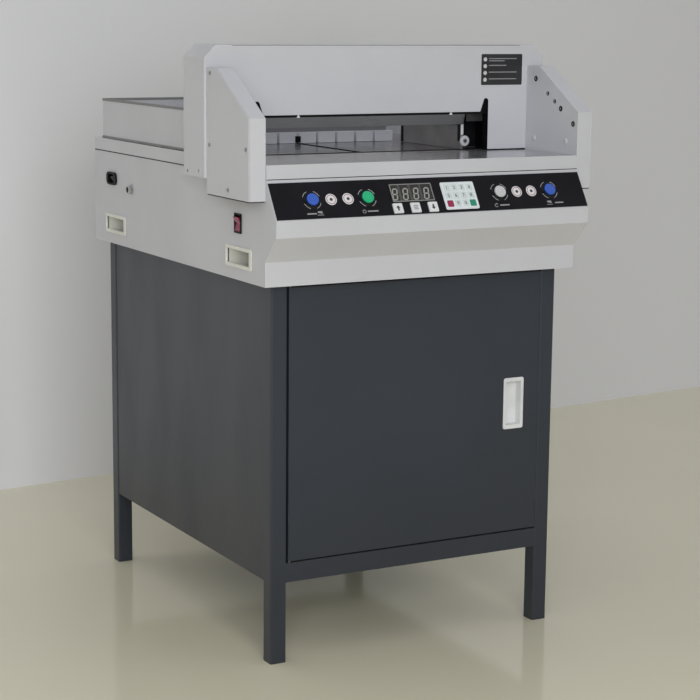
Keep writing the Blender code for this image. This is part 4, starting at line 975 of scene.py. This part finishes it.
def seam_gaskets():
    """A dark gasket in the seam under the table, and dark pads under the side guards, painted shade under their
    overhang.
    """
    casing_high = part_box("base_casing")[1]
    table_low, table_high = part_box("table_plate")
    seam = (casing_high.z + table_low.z) / 2
    half = 0.0011
    run = table_high.y - table_low.y - 0.006
    for tag, normal in SIDES:
        middle = (normal.x * table_high.x, (table_low.y + table_high.y) / 2, seam)
        plate(f"table_seam_gasket_{tag}", middle, normal, DARK_RUBBER_AND_SHADE, run, 2 * half, 0.0005, 0.00024, steps=2)
    middle = (0, table_low.y, seam + 0.0002)
    width = table_high.x - table_low.x - 0.002
    plate("table_seam_gasket_front", middle, FRONT, DARK_RUBBER_AND_SHADE, width, 1.3 * half, 0.0004, 0.00018, steps=2)
    for tag, out in SIDES:
        low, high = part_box("wing_" + tag)
        plate_low, plate_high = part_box("wing_plate_" + tag)
        edge, inner = (plate_low.x, high.x) if out is LEFT else (plate_high.x, low.x)
        width = abs(edge - inner) - 0.0012
        depth = high.y - low.y - 0.004
        middle = ((edge + inner) / 2, (low.y + high.y) / 2)
        # Painted shade: a dark pad under each side guard stands in for the shadow beneath its overhang.
        shade_pad = slab(rounded(width, depth, 0.001, middle), low.z - 0.0019, low.z - 0.00005)
        piece(f"wing_shade_pad_{tag}", shade_pad, DARK_RUBBER_AND_SHADE)


def knife_ends():
    """Dark plates beside the blade, which close the rest of the opening behind the cover."""
    blade_low, blade_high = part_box("knife_blade")
    beam_low, beam_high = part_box("knife_beam")
    play = 0.001
    for tag, start, end in (
        ("left", beam_low.x + play, blade_low.x - play),
        ("right", blade_high.x + play, beam_high.x - play),
    ):
        middle = ((start + end) / 2, beam_high.y + 0.0022, blade_low.z + 0.034)
        name = f"knife_end_plate_{tag}"
        plate(name, middle, FRONT, END_PLATE, end - start, 0.056, 0.001, 0.0018, 0.0004, body="knife")


def gauge_plate():
    """The small black plate that hides the clamping screw in the middle of the gauge's comb."""
    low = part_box("backgauge_comb")[0]
    screw_low, screw_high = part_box("backgauge_screw")
    middle = ((screw_low.x + screw_high.x) / 2, low.y, low.z + 0.0078)
    plate("gauge_plate", middle, FRONT, BLACK, 0.0125, 0.013, 0.001, 0.0012, 0.0003, body="backgauge")


def cover_shade_line():
    """A dark strip under the cover's top edge, painted shade for the shadow groove there."""
    middle = (0, cover_low.y, cover_high.z - 0.0013)
    plate("cover_top_shade_line", middle, FRONT, SHADE_STRIP, 0.62, 0.0012, 0.0004, 0.00016, steps=2)


def inlet_blades():
    """Bright sleeves on the mains inlet's three blades."""
    low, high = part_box("power_inlet")
    centre = (low + high) / 2
    for number, (across, up) in enumerate(((-0.007, 0.002), (0.007, 0.002), (0, -0.002))):
        place = (low.x + 0.003, centre.y + across, centre.z + up)
        plate(f"inlet_blade_{number}", place, LEFT, NICKEL, 0.0023, 0.0043, 0.0004, 0, 0.0005, -0.015, 2)


def leg_plugs():
    """Black plugs in the open feet of the four legs."""
    low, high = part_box("cabinet_frame")
    leg = 0.032
    wall = 0.002
    width = leg - 2 * wall - 0.0004
    for tag, x in (("left", low.x + leg / 2), ("right", high.x - leg / 2)):
        for end, y in (("front", low.y + leg / 2), ("rear", high.y - leg / 2)):
            bm = slab(rounded(width, width, 0.002), 0, 0.013, 0.0006)
            piece(f"leg_plug_{end}_{tag}", bm, BLACK, Matrix.Translation((x, y, low.z + 0.0004)))


def cabinet_seals():
    """Dark strips inside the cabinet, over the seams between its panels, legs and floor."""
    low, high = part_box("cabinet_frame")
    floor_low, floor_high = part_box("cabinet_floor")
    leg, top_rail, rail = 0.032, 0.03, 0.03
    width, play, sink = 0.008, 0.0003, 0.0002
    bottom, top = floor_high.z + play, high.z - top_rail - 2 * play
    end = leg + width / 2 - sink
    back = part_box("back_panel")[0].y
    left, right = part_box("side_panel_left")[1].x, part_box("side_panel_right")[0].x
    for tag, x, y, normal in (
        ("back_left", low.x + end, back, FRONT),
        ("back_right", high.x - end, back, FRONT),
        ("left_front", left, low.y + end, RIGHT),
        ("left_rear", left, high.y - end, RIGHT),
        ("right_front", right, low.y + end, LEFT),
        ("right_rear", right, high.y - end, LEFT),
    ):
        middle = (x, y, (bottom + top) / 2)
        name = f"cabinet_seal_{tag}"
        plate(name, middle, normal, DARK_RUBBER_AND_SHADE, width, top - bottom, 0.001, 0.0008, 0.0002, 0.00005, 2)
    rail_top = floor_low.z - play
    length = high.x - low.x - 2 * (leg - sink)
    for tag, start, stop in (
        ("front", low.y + rail - 0.0014, floor_low.y - 0.0001),
        ("rear", floor_high.y + 0.0001, high.y - rail + 0.0014),
    ):
        outline = rounded(length, stop - start, 0.0005, (0, (start + stop) / 2), 2)
        bar = slab(outline, rail_top + 0.00005, rail_top + 0.002)
        piece(f"cabinet_seal_floor_{tag}", bar, DARK_RUBBER_AND_SHADE)


label_plate()
cut_pointers()
sensor_lenses()
lay_fittings()
guard_shade_trims()
seam_gaskets()
knife_ends()
gauge_plate()
cover_shade_line()
inlet_blades()
leg_plugs()
cabinet_seals()

# ---------------------------------------------------------------- stage, light and camera


def floor_look():
    """Smooth pale floor paint, glossy enough to mirror the machine's legs."""
    look = Look("pale_floor")
    tone = look.mix(look.noise(1.5, 2), (0.735, 0.7, 0.525), (0.815, 0.775, 0.59))
    rough = look.cloud(2, 2, 0.2, 0.8, 0.1, 0.13)
    return look.made(Base_Color=tone, Roughness=rough, Normal=look.bump(look.noise(40, 2), 0.00001))


def wall_look():
    """A pale wall that is seen only from its front, so that it never hides the machine."""
    look = Look("pale_wall")
    wall = look.made(Base_Color=look.mix(look.noise(0.8), (0.87, 0.87, 0.89), (0.9, 0.9, 0.92)), Roughness=0.7)
    blend = look.node("MixShader", Fac=look.geometry.outputs["Backfacing"])
    look.feed(blend.inputs[1], look.shader.outputs["BSDF"])
    look.feed(blend.inputs[2], look.node("BsdfTransparent").outputs["BSDF"])
    look.feed(look.tree.nodes["Material Output"].inputs["Surface"], blend.outputs["Shader"])
    return wall


def stage_sheet(name, corners, look):
    bm = bmesh.new()
    bm.faces.new([bm.verts.new(corner) for corner in corners])
    made = placed(name, to_mesh(name, bm))
    made.data.materials.append(look)


FLOOR_REACH = 9
WALL_MIDDLE = Vector((0.7, 1.23, 0))
WALL_WAY = Vector((0.9926, 0.1216, 0))
WALL_HEIGHT = 5
wall_ends = [WALL_MIDDLE - WALL_WAY * FLOOR_REACH, WALL_MIDDLE + WALL_WAY * FLOOR_REACH]
corners = [(x * FLOOR_REACH, y * FLOOR_REACH, 0) for x, y in ((-1, -1), (1, -1), (1, 1), (-1, 1))]
stage_sheet("floor", corners, floor_look())
stage_sheet("wall", [*wall_ends, wall_ends[1] + UP * WALL_HEIGHT, wall_ends[0] + UP * WALL_HEIGHT], wall_look())


def area_light(name, place, target, size, power, colour=(1, 1, 1)):
    data = bpy.data.lights.new(name, "AREA")
    data.shape = "RECTANGLE"
    data.size, data.size_y = size
    data.energy = power
    data.color = colour
    lamp = placed(name, data)
    lamp.location = place
    lamp.rotation_euler = (Vector(target) - Vector(place)).to_track_quat("-Z", "Y").to_euler()
    return lamp


# The key light's mirrored image is held back, so that it doesn't glare in the glossy floor.
KEY = ((-1.7, -4.2, 1.6), (0, 0, 0.8), (2.6, 2))
KEY_COLOUR = (0.975, 0.99, 1.01)
area_light("key", *KEY, 106, KEY_COLOUR).visible_glossy = False
area_light("key_shine", *KEY, 32, KEY_COLOUR).visible_diffuse = False
area_light("top", (0, -0.2, 4.2), (0, 0, 0), (3.5, 3.5), 5)


def studio_world():
    """A bright ceiling over a darker horizon."""
    made = bpy.data.worlds.new("studio")
    made.use_nodes = True
    tree = made.node_tree
    where = tree.nodes.new("ShaderNodeTexCoord")
    split = tree.nodes.new("ShaderNodeSeparateXYZ")
    ramp = tree.nodes.new("ShaderNodeValToRGB")
    tree.links.new(where.outputs["Generated"], split.inputs["Vector"])
    tree.links.new(split.outputs["Z"], ramp.inputs["Fac"])
    tree.links.new(ramp.outputs["Color"], tree.nodes["Background"].inputs["Color"])
    dark, bright = ramp.color_ramp.elements
    dark.position, dark.color = 0.26, (0.04, 0.04, 0.04, 1)
    bright.position, bright.color = 0.34, (0.472, 0.475, 0.492, 1)
    return made


bpy.context.scene.world = studio_world()
bpy.context.scene.view_settings.view_transform = "Standard"

# The camera stands at the front left, a little above the table, and looks slightly down.
YAW = math.radians(28.65)
PITCH = math.radians(-10.06)
ROLL = math.radians(0.55)
FOCAL = 97.84
STAND_POINT = Vector((-1.782, -3.3612, 1.1815))
ahead = Vector((math.sin(YAW) * math.cos(PITCH), math.cos(YAW) * math.cos(PITCH), math.sin(PITCH)))
level_right = Vector((math.cos(YAW), -math.sin(YAW), 0))
level_up = level_right.cross(ahead)
tilted_right = math.cos(ROLL) * level_right + math.sin(ROLL) * level_up
tilted_up = math.cos(ROLL) * level_up - math.sin(ROLL) * level_right
lens = bpy.data.cameras.new("camera")
lens.lens = FOCAL
lens.sensor_width = 36
lens.clip_end = 60
camera = placed("camera", lens)
turn = Matrix((tilted_right, tilted_up, -ahead)).transposed().to_4x4()
camera.matrix_world = Matrix.Translation(STAND_POINT) @ turn
bpy.context.scene.camera = camera
